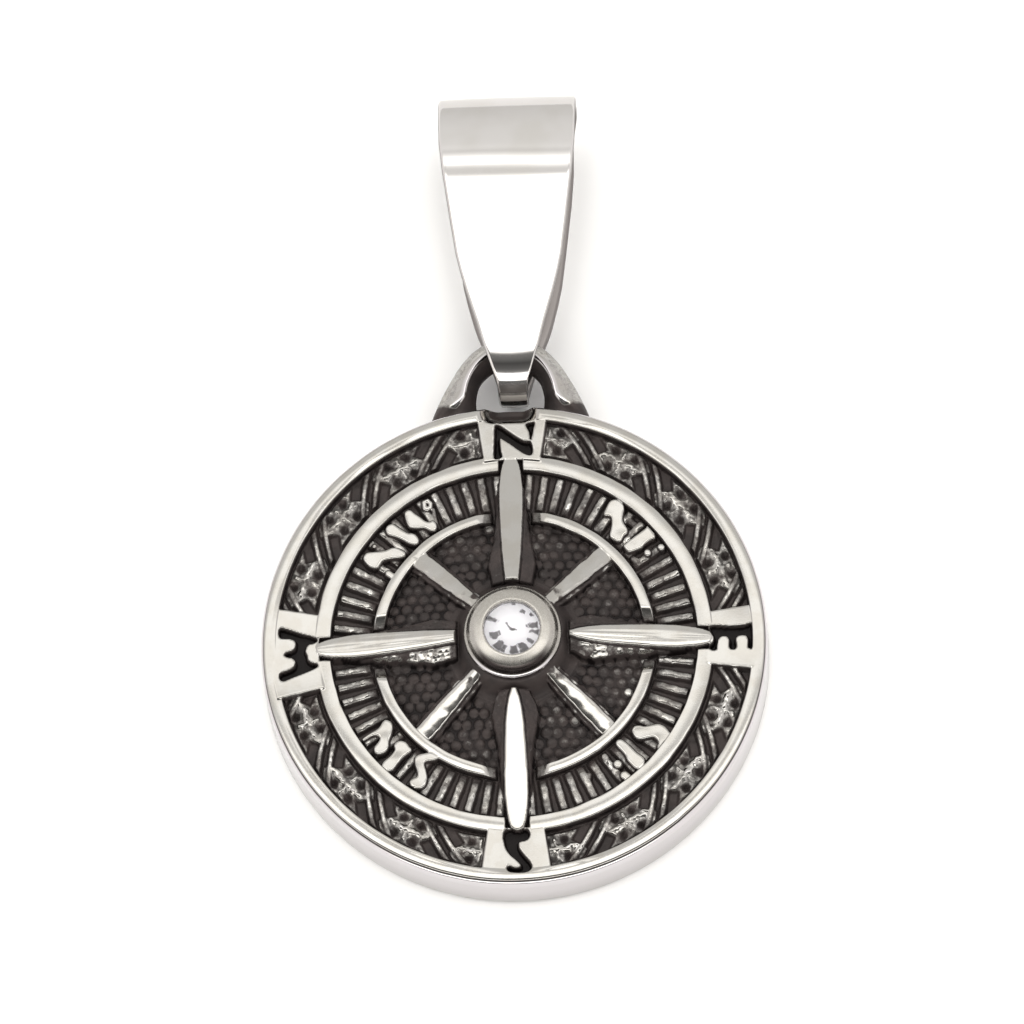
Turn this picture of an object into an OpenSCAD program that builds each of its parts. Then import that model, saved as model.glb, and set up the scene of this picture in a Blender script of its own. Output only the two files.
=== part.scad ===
/* [Medallion] */
// Diameter of the disc
disc_d = 28; // [24:0.5:32]
// Height of the rim and rings above the back face
rim_z = 3.6; // [3.2:0.1:4.2]
// Depth of the recessed panels and bands below the rim
recess = 0.72; // [0.5:0.02:0.9]
// Height that the main rays climb from the tip to the boss
ray_rise = 1.55; // [1:0.05:1.8]
// Height that the diagonal rays climb from the inner ring to the boss
small_ray_rise = 1.3; // [0.8:0.05:1.4]

/* [Loop] */
// Radius of the hole in the loop
hole_r = 1.83; // [1.7:0.01:1.95]
// Outer radius of the loop
loop_r = 3.48; // [3.4:0.01:3.6]
// Thickness of the loop
loop_t = 1.7; // [1.5:0.1:1.8]

/* [Stone] */
// Diameter of the round brilliant at its girdle
stone_d = 3.2; // [3:0.05:3.4]
// Outer diameter of the bezel
bezel_d = 5.4; // [5:0.1:5.6]
// Height of the bezel's crest above the rim
bezel_rise = 2.67; // [2.5:0.01:2.8]

/* [Bail] */
// Widest part of the strap, at the top fold
bail_w = 7.66; // [6:0.1:8.4]
// Thickness of the strap
strap_t = 0.7; // [0.6:0.05:0.8]
// Outer radius of the bottom bend, round the loop
bend_r = 2.6; // [2.55:0.01:2.65]
// Outer radius of the top fold, round the chain
fold_r = 3.4; // [3:0.1:3.8]
// Distance from the bottom bend to the top fold
bail_reach = 11.72; // [10:0.1:13]

/* [Hidden] */

// Radii of the face, worked out from the disc
disc_r = disc_d / 2;
rim_in = disc_r - 0.9;
mid_out = disc_r - 2.95;
mid_in = disc_r - 3.87;
inner_out = disc_r - 6.12;
inner_in = disc_r - 6.76;
ray_tip = disc_r - 2.97;
ray_root = 3.25;
floor_z = rim_z - recess;
field_rise = 0.85;
flank_slope = 28;
boss_r = 2.62;
boss_foot_r = 3.7;
boss_z = rim_z + bezel_rise - 1.27;

// Half widths of a main ray's polished top, by the share of its length from the root
RAY_TOP = [[0, 0.28], [0.1, 0.42], [0.23, 0.52], [0.42, 0.6], [0.62, 0.66], [0.75, 0.66],
    [0.87, 0.58], [0.96, 0.46], [1, 0.25]];
// Half widths of a main ray's wide foot
RAY_FOOT = [[0, 1.5], [0.15, 1.3], [0.38, 1], [0.62, 0.8], [0.82, 0.62], [0.9, 0.5]];
// Half widths of a diagonal ray
SMALL_RAY = [[0, 0.34], [0.2, 0.44], [0.6, 0.52], [1, 0.54]];

// Letter plates: the compass bearing where each starts and ends, its own bearing and its letter
PLATES = [[-8.9, 7.5, 0, "N"], [80.9, 97, 90, "E"], [171.6, 187.5, 180, "S"], [256.9, 279.3, 270, "W"]];
// Raised letters on the ribbed band: bearing, letter, height and width
BAND_LETTERS = [[38.5, "N", 1.75, 1.5], [52.2, "E", 1.75, 1.1], [125.8, "S", 1.75, 1.2], [138.3, "E", 1.75, 1.1],
    [216.5, "S", 1.75, 1.2], [231.5, "W", 1.75, 1.9], [308, "N", 1.75, 1.5], [324, "W", 1.75, 1.9]];
// Bearings of the slanted pairs of bars in the border, and the side to which they lean
BAR_PAIRS = [[22, -1], [40, -1], [58, -1], [119, 1], [139, 1], [160, 1],
    [197, -1], [218, -1], [236, -1], [297, 1], [318, 1], [337, 1]];
// Bearings of the pitted pads between those pairs
PADS = [13.5, 31, 49, 68, 108, 129, 149.5, 207.5, 227, 246, 288, 307.5, 327.5, 345];
// Bearings of the gaps in the ribs, at the letters and the main rays, with half their widths
RIB_GAPS = [[0, 6.5], [45, 14], [90, 6.5], [132, 13.5], [180, 6.5], [225, 16], [270, 6.5], [316, 18]];
rib_pitch = 4;
rib_w = 0.34;
letter_stroke = 0.34;
ring_gap = 1.15;

// The loop hangs on the rim at the north
loop_y = disc_r + 0.9;
loop_z = 1.5;
loop_ridge_r = 2.6;
foot_half = 4.55;
notch_r = 1.3;

// Stone and bezel
stone_r = stone_d / 2;
girdle_z = rim_z + bezel_rise - 0.42;
table_z = rim_z + bezel_rise;
table_r = 0.55 * stone_r;
culet_z = girdle_z - 1.25;
girdle_t = 0.08;
stub_r = 1.5;
stub_z = boss_z - 1;
seat_gap = 0.04;
CROWN_STEPS = 10;

// Bail
bail_y = 16.95;
bail_x = 0.2;
// Half widths of the strap as shares of its widest, by the distance from the bottom bend's axis
STRAP = [[-2.7, 0.215], [-2.2, 0.22], [-1.8, 0.24], [-1.4, 0.28], [0, 0.397], [1.2, 0.483], [2.9, 0.62],
    [4.1, 0.71], [5.1, 0.765], [7, 0.84], [10, 0.945], [11.7, 0.985], [15.4, 1]];
ARC_STEP = 6;

// A point at a radius and a compass bearing, north along +Y and east along +X
function at_bearing(r, bearing) = [r * sin(bearing), r * cos(bearing)];

// Both sides of an outline along +Y, from a table of shares and half widths
function along(table, y0, length, k = 1) = concat(
    [for (row = table) [row[1] * k, y0 + row[0] * length]],
    [for (i = [len(table) - 1:-1:0]) [-table[i][1] * k, y0 + table[i][0] * length]]);

// A sector of the face between two bearings
function sector(r0, r1, from, to) = let (step = (to - from) / 6) concat(
    [for (i = [0:6]) at_bearing(r1, from + i * step)],
    [for (i = [6:-1:0]) at_bearing(r0, from + i * step)]);

// Strokes of the compass letters, in half heights and half widths
function strokes(letter) =
    letter == "N" ? [[[-1, -1], [-1, 1]], [[-1, 1], [1, -1]], [[1, -1], [1, 1]]] :
    letter == "E" ? [[[-1, -1], [-1, 1]], [[-1, 1], [1, 1]], [[-1, 0], [0.8, 0]], [[-1, -1], [1, -1]]] :
    letter == "S" ? [[[1, 1], [-0.9, 1]], [[-0.9, 1], [-0.9, 0.15]], [[-0.9, 0.15], [0.9, -0.15]],
        [[0.9, -0.15], [0.9, -1]], [[0.9, -1], [-1, -1]]] :
    [[[-1.1, 1], [-0.6, -1]], [[-0.6, -1], [0, 0.8]], [[0, 0.8], [0.6, -1]], [[0.6, -1], [1.1, 1]]];

module stroke(from, to, w) {
    along_x = to[0] - from[0];
    along_y = to[1] - from[1];
    length = norm([along_x, along_y]);
    translate(from) rotate(atan2(along_y, along_x)) translate([-w / 2, -w / 2]) square([length + w, w]);
}

module letter_2d(letter, height, width, w) {
    half_h = (height - w) / 2;
    half_w = (width - w) / 2;
    for (s = strokes(letter))
        stroke([s[0][0] * half_w, s[0][1] * half_h], [s[1][0] * half_w, s[1][1] * half_h], w);
}

// Turns what points to the north to a bearing
module toward(bearing) {
    rotate(-bearing) children();
}

module disc_body() {
    rotate_extrude($fn = 96) polygon([[0, 0], [disc_r - 0.3, 0], [disc_r, 0.3], [disc_r, 2.75], [disc_r - 0.1, 3.02],
        [disc_r - 0.28, 3.08], [disc_r - 0.28, 3.2], [disc_r - 0.2, 3.26], [disc_r - 0.32, 3.5],
        [disc_r - 0.55, rim_z], [rim_in, rim_z], [rim_in - 0.06, floor_z],
        [boss_foot_r + 0.6, floor_z], [boss_foot_r, floor_z + field_rise], [boss_r, boss_z], [0, boss_z]]);
}

// A ring with its two upper edges taken off, cut by a gap at each main ray
module ring(r0, r1, top, gap) {
    difference() {
        rotate_extrude($fn = 96) polygon([[r0 - 0.04, floor_z - 0.1], [r0, top - 0.12], [r0 + 0.12, top],
            [r1 - 0.12, top], [r1, top - 0.12], [r1 + 0.04, floor_z - 0.1]]);
        for (bearing = [0:90:270])
            toward(bearing) translate([-gap, r0 - 1, floor_z]) cube([2 * gap, r1 - r0 + 2, 2]);
    }
}

module main_ray() {
    length = ray_tip - ray_root;
    slope_top = [[ray_root - 0.1, rim_z + ray_rise], [ray_tip + 0.1, rim_z + 0.08], [ray_tip + 0.1, floor_z - 0.2],
        [ray_root - 0.1, floor_z - 0.2]];
    intersection() {
        translate([0, 0, floor_z - 0.2]) linear_extrude(4) polygon(along(RAY_TOP, ray_root, length));
        rotate([90, 0, 90]) translate([0, 0, -2]) linear_extrude(4) polygon(slope_top);
    }
    intersection() {
        translate([0, 0, floor_z - 0.2]) linear_extrude(4) polygon(along(RAY_FOOT, boss_r, length + ray_root - boss_r));
        for (side = [0, 1])
            mirror([side, 0, 0]) ray_flank();
    }
}

// One sloping flank of a main ray's foot, from the ridge down to the field
module ray_flank() {
    fall = atan2(ray_rise - 0.2, ray_tip - boss_r);
    translate([0, boss_r, rim_z + ray_rise - 0.15]) rotate([-fall, 0, 0]) rotate([0, flank_slope, 0])
        translate([-0.05, -1, -6]) cube([4, 12, 6]);
}

module diagonal_ray() {
    length = inner_in + 0.1 - boss_r;
    profile = [[boss_r, rim_z + small_ray_rise - 0.1], [inner_in + 0.2, rim_z - 0.1], [inner_in + 0.2, floor_z - 0.2],
        [boss_r, floor_z - 0.2]];
    intersection() {
        translate([0, 0, floor_z - 0.2]) linear_extrude(4) polygon(along(SMALL_RAY, boss_r, length));
        rotate([90, 0, 90]) translate([0, 0, -2]) linear_extrude(4) polygon(profile);
    }
}

module letter_plate(plate) {
    middle = (mid_out + rim_in) / 2;
    difference() {
        translate([0, 0, floor_z - 0.1]) linear_extrude(recess + 0.1)
            polygon(sector(mid_out - 0.2, rim_in + 0.2, plate[0], plate[1]));
        toward(plate[2]) translate([0, middle, rim_z - 0.55]) linear_extrude(1)
            letter_2d(plate[3], rim_in - mid_out + 0.1, 1.9, 0.4);
    }
}

function in_gap(bearing) = len([for (g = RIB_GAPS) if (abs(bearing - g[0]) < g[1] || abs(bearing - 360 - g[0]) < g[1]) 1]) > 0;

module ribs() {
    for (bearing = [0:rib_pitch:359])
        if (!in_gap(bearing))
            toward(bearing) translate([-rib_w / 2, inner_out - 0.1, floor_z - 0.1])
                cube([rib_w, mid_in - inner_out + 0.2, 0.45]);
}

module band_letters() {
    for (row = BAND_LETTERS)
        toward(row[0]) translate([0, (mid_in + inner_out) / 2, floor_z - 0.1]) linear_extrude(recess)
            letter_2d(row[1], row[2], row[3], letter_stroke);
}

module border_bars() {
    middle = (mid_out + rim_in) / 2;
    for (pair = BAR_PAIRS)
        for (side = [-0.27, 0.27])
            intersection() {
                toward(pair[0]) translate([0, middle, floor_z - 0.1]) rotate(-45 * pair[1])
                    translate([side - 0.15, -1.8, 0]) cube([0.3, 3.6, 0.6]);
                border_band();
            }
}

module border_band() {
    difference() {
        cylinder(r = rim_in + 0.05, h = rim_z, $fn = 96);
        translate([0, 0, -1]) cylinder(r = mid_out - 0.05, h = rim_z + 2, $fn = 96);
    }
}

module border_pads() {
    for (bearing = PADS)
        toward(bearing) difference() {
            translate([0, 0, floor_z - 0.1]) linear_extrude(0.35)
                polygon(sector((mid_out + rim_in) / 2 - 0.62, (mid_out + rim_in) / 2 + 0.62, -2.6, 2.6));
            for (row = [-0.36, 0.36])
                for (place = [-0.26, 0.26])
                    translate([place, (mid_out + rim_in) / 2 + row, floor_z]) cylinder(r = 0.13, h = 1, $fn = 8);
        }
}

// Height of the field between the rays at a distance along its slope
function field_at(r) = floor_z + field_rise * (inner_in - r) / (inner_in - boss_foot_r);

// Low eight-sided mound under the pebbles, with its ridges below the rays
module field() {
    slope = atan2(field_rise, inner_in - boss_foot_r);
    intersection() {
        translate([0, 0, floor_z - 0.1]) cylinder(r = inner_in - 0.02, h = field_rise + 0.1, $fn = 96);
        intersection_for (bearing = [22.5:45:359])
            toward(bearing) translate([0, inner_in * cos(22.5), floor_z]) rotate([-slope, 0, 0])
                translate([-9, -18, -4]) cube([18, 20, 4]);
    }
}

// Small pebbles that cover the field between the rays, in staggered rows
module pebbles() {
    for (row = [0:4]) {
        r = inner_in - 0.5 - row * 0.62;
        count = 4 * round(2 * PI * r / 0.66 / 4);
        for (i = [0:count - 1]) {
            bearing = (i + (row % 2) / 2) * 360 / count;
            near_main = abs(r * sin(2 * bearing) / 2) < 1.3;
            near_small = abs(r * cos(2 * bearing) / 2) < 0.74;
            if (!near_main && !near_small)
                toward(bearing) translate([0, r, field_at(r) - 0.3]) cylinder(r = 0.21, h = 0.42, $fn = 6);
        }
    }
}

module loop() {
    top = loop_z + loop_t;
    difference() {
        union() {
            translate([0, loop_y, 0]) rotate_extrude($fn = 64) polygon([[hole_r, loop_z + 0.25], [hole_r + 0.25, loop_z],
                [loop_r - 0.3, loop_z], [loop_r, loop_z + 0.4], [loop_r, loop_z + 0.9], [loop_ridge_r, top],
                [loop_ridge_r - 0.25, top], [hole_r, loop_z + 0.95]]);
            for (side = [0, 1])
                mirror([side, 0, 0]) translate([0, 0, loop_z]) linear_extrude(1.2)
                    polygon([[hole_r + 0.3, loop_y], [loop_r - 0.02, loop_y + 0.3], [foot_half, disc_r - 0.75],
                        [hole_r, disc_r - 0.6]]);
        }
        translate([0, 0, -1]) cylinder(r = disc_r - 0.45, h = 8, $fn = 96);
        translate([0, loop_y, -1]) cylinder(r = hole_r - 0.001, h = 8, $fn = 64);
    }
}

module medallion() {
    color([0.56, 0.54, 0.51]) difference() {
        union() {
            disc_body();
            ring(mid_in, mid_out, rim_z, 0.95);
            ring(inner_in, inner_out, rim_z - 0.06, ring_gap);
            for (plate = PLATES)
                letter_plate(plate);
            for (bearing = [0:90:270])
                toward(bearing) main_ray();
            for (bearing = [45:90:315])
                toward(bearing) diagonal_ray();
            ribs();
            band_letters();
            border_bars();
            border_pads();
            field();
            pebbles();
            loop();
        }
        translate([0, 0, stub_z - seat_gap]) cylinder(r = stub_r + seat_gap, h = 4, $fn = 48);
        translate([0, disc_r - 1.1, rim_z + 1.1]) rotate([-58, 0, 0]) cylinder(r = notch_r, h = 4, $fn = 48);
    }
}

module stone_bezel() {
    crown = [for (i = [0:CROWN_STEPS]) let (a = 90 * i / CROWN_STEPS)
        [bezel_d / 2 - 0.95 + 0.95 * cos(a), boss_z + 0.32 + 0.95 * sin(a)]];
    color([0.72, 0.7, 0.66]) rotate_extrude($fn = 96) polygon(concat([[0, stub_z], [stub_r, stub_z], [stub_r, boss_z + seat_gap],
        [bezel_d / 2 - 0.2, boss_z + seat_gap], [bezel_d / 2, boss_z + 0.2]], crown,
        [[stone_r, table_z - 0.08], [stone_r - 0.06, table_z - 0.24], [stone_r + seat_gap, girdle_z + 0.06],
            [stone_r + seat_gap, girdle_z - girdle_t - seat_gap], [0.12, culet_z - 0.14], [0, culet_z - 0.14]]));
}

// Round brilliant: a table, eight stars, eight kites and sixteen halves over a pavilion of eight mains
module crystal() {
    middle_r = 0.8 * stone_r;
    slope = (table_z - girdle_z) / (stone_r - table_r);
    middle_z = table_z - slope * (middle_r * cos(22.5) - table_r);
    table = [for (i = [0:7]) [table_r * cos(45 * i), table_r * sin(45 * i), table_z]];
    middle = [for (i = [0:7]) [middle_r * cos(45 * i + 22.5), middle_r * sin(45 * i + 22.5), middle_z]];
    upper = [for (i = [0:15]) [stone_r * cos(22.5 * i), stone_r * sin(22.5 * i), girdle_z]];
    lower = [for (i = [0:15]) [stone_r * cos(22.5 * i), stone_r * sin(22.5 * i), girdle_z - girdle_t]];
    faces = concat(
        [[7, 6, 5, 4, 3, 2, 1, 0]],
        [for (i = [0:7]) [i, (i + 1) % 8, 8 + i]],
        [for (i = [0:7]) [i, 8 + i, 16 + 2 * i]],
        [for (i = [0:7]) [i, 16 + 2 * i, 8 + (i + 7) % 8]],
        [for (i = [0:7]) [8 + i, 17 + 2 * i, 16 + 2 * i]],
        [for (i = [0:7]) [8 + i, 16 + (2 * i + 2) % 16, 17 + 2 * i]],
        [for (i = [0:15]) [16 + i, 16 + (i + 1) % 16, 32 + (i + 1) % 16, 32 + i]],
        [for (i = [0:15]) [32 + i, 32 + (i + 1) % 16, 48]]);
    color([0.93, 0.95, 0.98]) polyhedron(concat(table, middle, upper, lower, [[0, 0, culet_z]]), faces);
}

// Side outline of the bail: two round bends joined by flat leaves, drawn inset from the outside
function bail_side(inset) = let (lean = asin((fold_r - bend_r) / norm([bail_reach, fold_r - bend_r])) * 2) concat(
    [for (a = [-90:ARC_STEP:90 + lean - 0.001]) [bail_reach + (fold_r - inset) * cos(a), fold_r + (fold_r - inset) * sin(a)]],
    [for (a = [90 + lean:ARC_STEP:270]) [(bend_r - inset) * cos(a), bend_r + (bend_r - inset) * sin(a)]]);

module bail() {
    color([0.86, 0.86, 0.85]) translate([bail_x, bail_y, 0]) intersection() {
        rotate([90, 0, 90]) translate([0, 0, -bail_w]) linear_extrude(2 * bail_w) difference() {
            polygon(bail_side(0));
            polygon(bail_side(strap_t));
        }
        translate([0, 0, -1]) linear_extrude(2 * fold_r + 2) polygon(along(STRAP, 0, 1, bail_w / 2));
    }
}

medallion();
stone_bezel();
crystal();
bail();
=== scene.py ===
"""Dresses the compass pendant: cast relief, loop, bezel, stone, bail and the studio around it."""

import math

import bmesh
import bpy
import numpy as np
from bpy.props import FloatProperty, FloatVectorProperty, IntProperty, PointerProperty
from mathutils import Matrix, Vector


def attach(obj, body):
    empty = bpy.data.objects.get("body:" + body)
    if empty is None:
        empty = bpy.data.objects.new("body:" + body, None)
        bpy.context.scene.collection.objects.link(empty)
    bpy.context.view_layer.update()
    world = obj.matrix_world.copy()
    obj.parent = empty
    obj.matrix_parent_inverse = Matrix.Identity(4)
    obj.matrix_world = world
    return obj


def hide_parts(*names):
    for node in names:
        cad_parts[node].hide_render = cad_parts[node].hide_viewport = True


bl_info = {
    "name": "Compass pendant",
    "version": (1, 0, 0),
    "blender": (4, 5, 0),
    "location": "3D View > Sidebar > Pendant",
    "description": "Builds the pieces, finishes and studio of a cast compass pendant",
    "category": "Object",
}

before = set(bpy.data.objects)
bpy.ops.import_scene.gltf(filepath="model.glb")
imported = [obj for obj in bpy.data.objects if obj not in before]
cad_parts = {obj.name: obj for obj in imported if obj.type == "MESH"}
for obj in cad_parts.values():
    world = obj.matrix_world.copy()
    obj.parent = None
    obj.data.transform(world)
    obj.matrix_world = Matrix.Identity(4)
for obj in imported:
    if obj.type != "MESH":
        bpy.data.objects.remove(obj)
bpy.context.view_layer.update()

MM = 0.001

# Radii of the face, in millimetres
FIELD_R = 7.4
INNER_RING = (7.24, 7.88)
BAND = (7.9, 10.15)
MID_RING = (10.13, 11.03)
BORDER = (10.95, 13.25)
BORDER_MIDDLE = 12.15
RIM_IN = 13.15
FLAT_RIM = 13.45
# Heights above the back
FLOOR_Z = 2.88
LETTER_FLOOR_Z = 2.96
BAND_LETTER_Z = 3.55
INNER_RING_Z = 3.57
PLATE_Z = 3.575
RIM_Z = 3.6
MID_RING_Z = 3.61
LOOP_CREST_Z = 3.18
SMALL_RAY_Z = 3.55
# The border's pads and bars: degrees from pad to pad, half a bar's width and its distance from the pair's middle
PAD_PITCH = 20
BAR_HALF = 0.17
BAR_ASIDE = 0.32
# Where the bail's bottom bend lies in the loop
BEND_X = 0.2
BEND_Y = 16.95

# The shoulder, the side wall and the back: radius, height and shine, where 2 is bare steel. The shine paints a dark
# line along the shoulder's steep step as painted shade; below it the bare side wall is painted lighter at its top as a
# highlight and darker towards the bottom as shade.
SHOULDER = [
    (13.45, 3.6, 1), (13.52, 3.598, 1), (13.6, 3.591, 1), (13.66, 3.583, 1), (13.71, 3.574, 1), (13.75, 3.566, 1),
    (13.79, 3.554, 1), (13.82, 3.541, 1), (13.845, 3.523, 0.9), (13.86, 3.5, 0), (13.872, 3.45, -0.3),
    (13.88, 3.39, -0.3), (13.886, 3.345, -0.1), (13.9, 3.333, 1.4), (13.935, 3.303, 2), (13.975, 3.268, 2),
    (13.993, 3.225, 2), (14.0, 3.15, 2), (14.0, 2.85, 2), (13.99, 2.5, 1.8), (14.0, 2.1, 1.8), (13.985, 1.7, 1.8),
    (14.0, 1.3, 1.7), (13.99, 0.8, 1.6), (14.0, 0.45, 1.4), (13.96, 0.25, 1.2), (13.86, 0.08, 1), (13.7, 0.0, 1),
    (11.0, 0.0, 1), (7.0, 0.0, 1), (3.0, 0.0, 1), (0.4, 0.0, 1),
]

# Half widths of the main rays' polished tops, by the distance from the middle
RAY_TOP = {
    "blunt": [
        (3.2, 0.36), (4, 0.44), (5, 0.52), (6.5, 0.6), (8, 0.66), (9, 0.66), (10, 0.58), (10.7, 0.46), (11.05, 0.3)],
    "pointed": [
        (3.2, 0.16), (3.6, 0.3), (4.2, 0.42), (5, 0.52), (6.5, 0.6), (8, 0.66), (9, 0.66), (10, 0.58), (10.7, 0.46),
        (11.05, 0.3)],
}
RAY_FOOT = [(3, 0.75), (4.4, 0.88), (5.2, 0.66), (6, 0.46), (7.4, 0.26), (9.3, 0.05), (9.8, 0.0)]
SMALL_RAY = [(2.9, 0.34), (4, 0.43), (5.5, 0.51), (7.4, 0.54)]

# Letter plates: the bearings where each starts and ends, its middle and half length from south to north, and how much
# its northern and southern edges fall towards the north
PLATES = [
    (-8.0, 8.9, 12.05, 1.15, 0.06, 0.06), (81.7, 98.3, 0.0, 1.75, 0.056, 0.0), (172.0, 188.9, -12.05, 1.15, 0.0, 0.0),
    (257.6, 280.9, -0.15, 2.4, 0.0, 0.06)]
# How far the ribs are turned on from whole multiples of their pitch, by the bearing
RIB_SHIFT = [
    (0, 0.8), (15, 0.9), (72, 1.5), (108, 2.9), (160, 4.7), (200, 6.0), (250, 7.0), (287, 7.9), (345, 9.7),
    (360, 10.8)]

# Outlines of the raised letters on the ribbed band, in millimetres
BAND_LETTERS = [
    [(5.43, 8.2), (5.64, 8.3), (5.92, 8.27), (6.2, 8.03), (6.28, 7.67), (6.2, 7.32), (6.18, 7.0), (6.42, 6.55),
     (6.4, 6.25), (6.21, 6.1), (6.02, 5.78), (5.73, 5.8), (5.38, 6.1), (5.45, 6.55), (5.5, 6.91), (5.43, 7.26),
     (5.14, 7.3), (5.07, 7.47), (5.24, 7.88)],
    [(7.52, 6.68), (7.33, 6.52), (6.87, 6.18), (6.3, 5.74), (6.12, 5.54), (6.21, 5.33), (6.45, 5.13), (6.76, 5.2),
     (7.16, 5.34), (7.37, 5.57), (7.66, 5.78), (7.95, 5.94), (7.87, 6.25)],
    [(-5.97, 7.81), (-5.83, 8.03), (-5.57, 8.05), (-5.35, 7.86), (-5.07, 7.65), (-4.78, 7.4), (-4.56, 7.33),
     (-4.37, 7.4), (-4.18, 7.24), (-4.11, 6.94), (-4.26, 6.72), (-4.54, 6.73), (-4.83, 6.9), (-5.2, 6.9),
     (-5.59, 6.92), (-5.76, 7.07), (-5.9, 7.4)],
    [(-7.03, 6.94), (-6.88, 7.2), (-6.59, 7.28), (-6.35, 7.13), (-6.02, 6.88), (-5.73, 6.7), (-5.54, 6.7),
     (-5.3, 6.58), (-5.12, 6.28), (-5.17, 6.03), (-5.4, 5.94), (-5.73, 6.03), (-6.07, 6.24), (-6.45, 6.43),
     (-6.88, 6.6)],
    [(-8.2, 5.5), (-8.02, 5.65), (-7.5, 5.68), (-7.02, 5.74), (-6.73, 5.86), (-6.45, 5.88), (-6.16, 5.76),
     (-5.88, 5.54), (-5.93, 5.31), (-6.21, 5.2), (-6.64, 5.17), (-7.11, 5.06), (-7.3, 4.86), (-7.42, 4.67),
     (-7.64, 4.63), (-7.97, 4.78), (-8.24, 5.1), (-8.28, 5.31)],
    [(-7.6, -4.68), (-7.38, -4.33), (-7.14, -4.17), (-6.84, -4.33), (-6.74, -4.67), (-6.81, -5.08), (-6.97, -5.49),
     (-7.0, -5.85), (-7.19, -6.13), (-7.57, -6.27), (-7.84, -6.1), (-7.86, -5.8), (-7.67, -5.54), (-7.54, -5.3),
     (-7.7, -5.14), (-7.95, -5.18), (-8.4, -5.44), (-8.5, -5.3), (-8.1, -4.98)],
    [(-6.61, -5.5), (-6.33, -5.42), (-6.04, -5.54), (-5.85, -5.8), (-5.72, -5.95), (-5.76, -6.14), (-5.99, -6.3),
     (-6.28, -6.55), (-6.56, -6.9), (-6.8, -7.2), (-7.09, -7.27), (-7.36, -7.07), (-7.45, -6.82), (-7.28, -6.57),
     (-6.96, -6.32), (-6.73, -6.0), (-6.77, -5.74)],
    [(-4.6, -6.2), (-5.03, -6.2), (-5.42, -6.29), (-5.62, -6.51), (-5.62, -6.92), (-5.51, -7.28), (-5.5, -7.56),
     (-5.75, -7.68), (-5.93, -7.86), (-5.87, -8.13), (-5.61, -8.31), (-5.25, -8.31), (-5.0, -8.09), (-4.89, -7.68),
     (-4.95, -7.22), (-5.03, -6.93), (-4.96, -6.76), (-4.5, -6.7), (-4.2, -6.5)],
    [(6.38, -5.27), (6.52, -5.03), (6.8, -4.97), (7.13, -5.04), (7.52, -4.97), (7.9, -4.92), (8.23, -5.07),
     (8.47, -5.37), (8.7, -5.8), (8.5, -6.5), (8.1, -6.7), (7.76, -6.4), (7.82, -6.03), (7.62, -5.77), (7.33, -5.78),
     (6.94, -5.87), (6.67, -5.81), (6.46, -5.57)],
    [(5.47, -5.98), (5.61, -5.79), (5.84, -5.77), (6.13, -5.98), (6.42, -6.29), (6.7, -6.59), (6.98, -6.8),
     (7.13, -7.05), (7.08, -7.31), (6.8, -7.59), (6.57, -7.55), (6.33, -7.31), (6.09, -7.0), (5.99, -6.74),
     (5.8, -6.49), (5.57, -6.23)],
]
# Smaller raised strokes there: width, height above the disc's back, shine and the middle line
BAND_STROKES = [
    (0.4, 3.5, 1.0, [(7.47, 5.12), (7.48, 5.1)]),
    (0.38, 3.5, 1.0, [(8.22, 5.42), (8.26, 5.38)]),
    (0.36, 3.3, 0.45, [(6.7, 4.82), (6.9, 4.7)]),
    (0.4, 3.2, 0.4, [(5.05, 7.1), (4.7, 6.68)]),
    (0.4, 3.2, 0.35, [(6.55, 7.05), (6.8, 6.85)]),
    (0.26, 3.45, 0.9, [
        (-4.8, 8.15), (-4.84, 8.5), (-4.64, 8.6), (-4.48, 8.42), (-4.5, 8.2), (-4.68, 8.1), (-4.8, 8.2)]),
    (0.24, 3.25, 0.5, [(-4.35, 8.1), (-4.21, 7.35)]),
    (0.38, 3.52, 0.95, [(-6.88, 4.36), (-6.55, 4.12)]),
    (0.2, 3.45, 0.9, [(-7.64, 6.0), (-7.62, 6.02)]),
    (0.46, 3.5, 1.0, [(5.58, -7.18), (5.62, -7.22)]),
    (0.48, 3.5, 1.0, [(5.96, -7.86), (6.1, -7.98)]),
    (0.34, 3.4, 0.6, [(4.87, -6.7), (4.93, -6.78)]),
    (0.3, 3.25, 0.45, [(4.0, -7.7), (3.95, -7.9)]),
]
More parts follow.
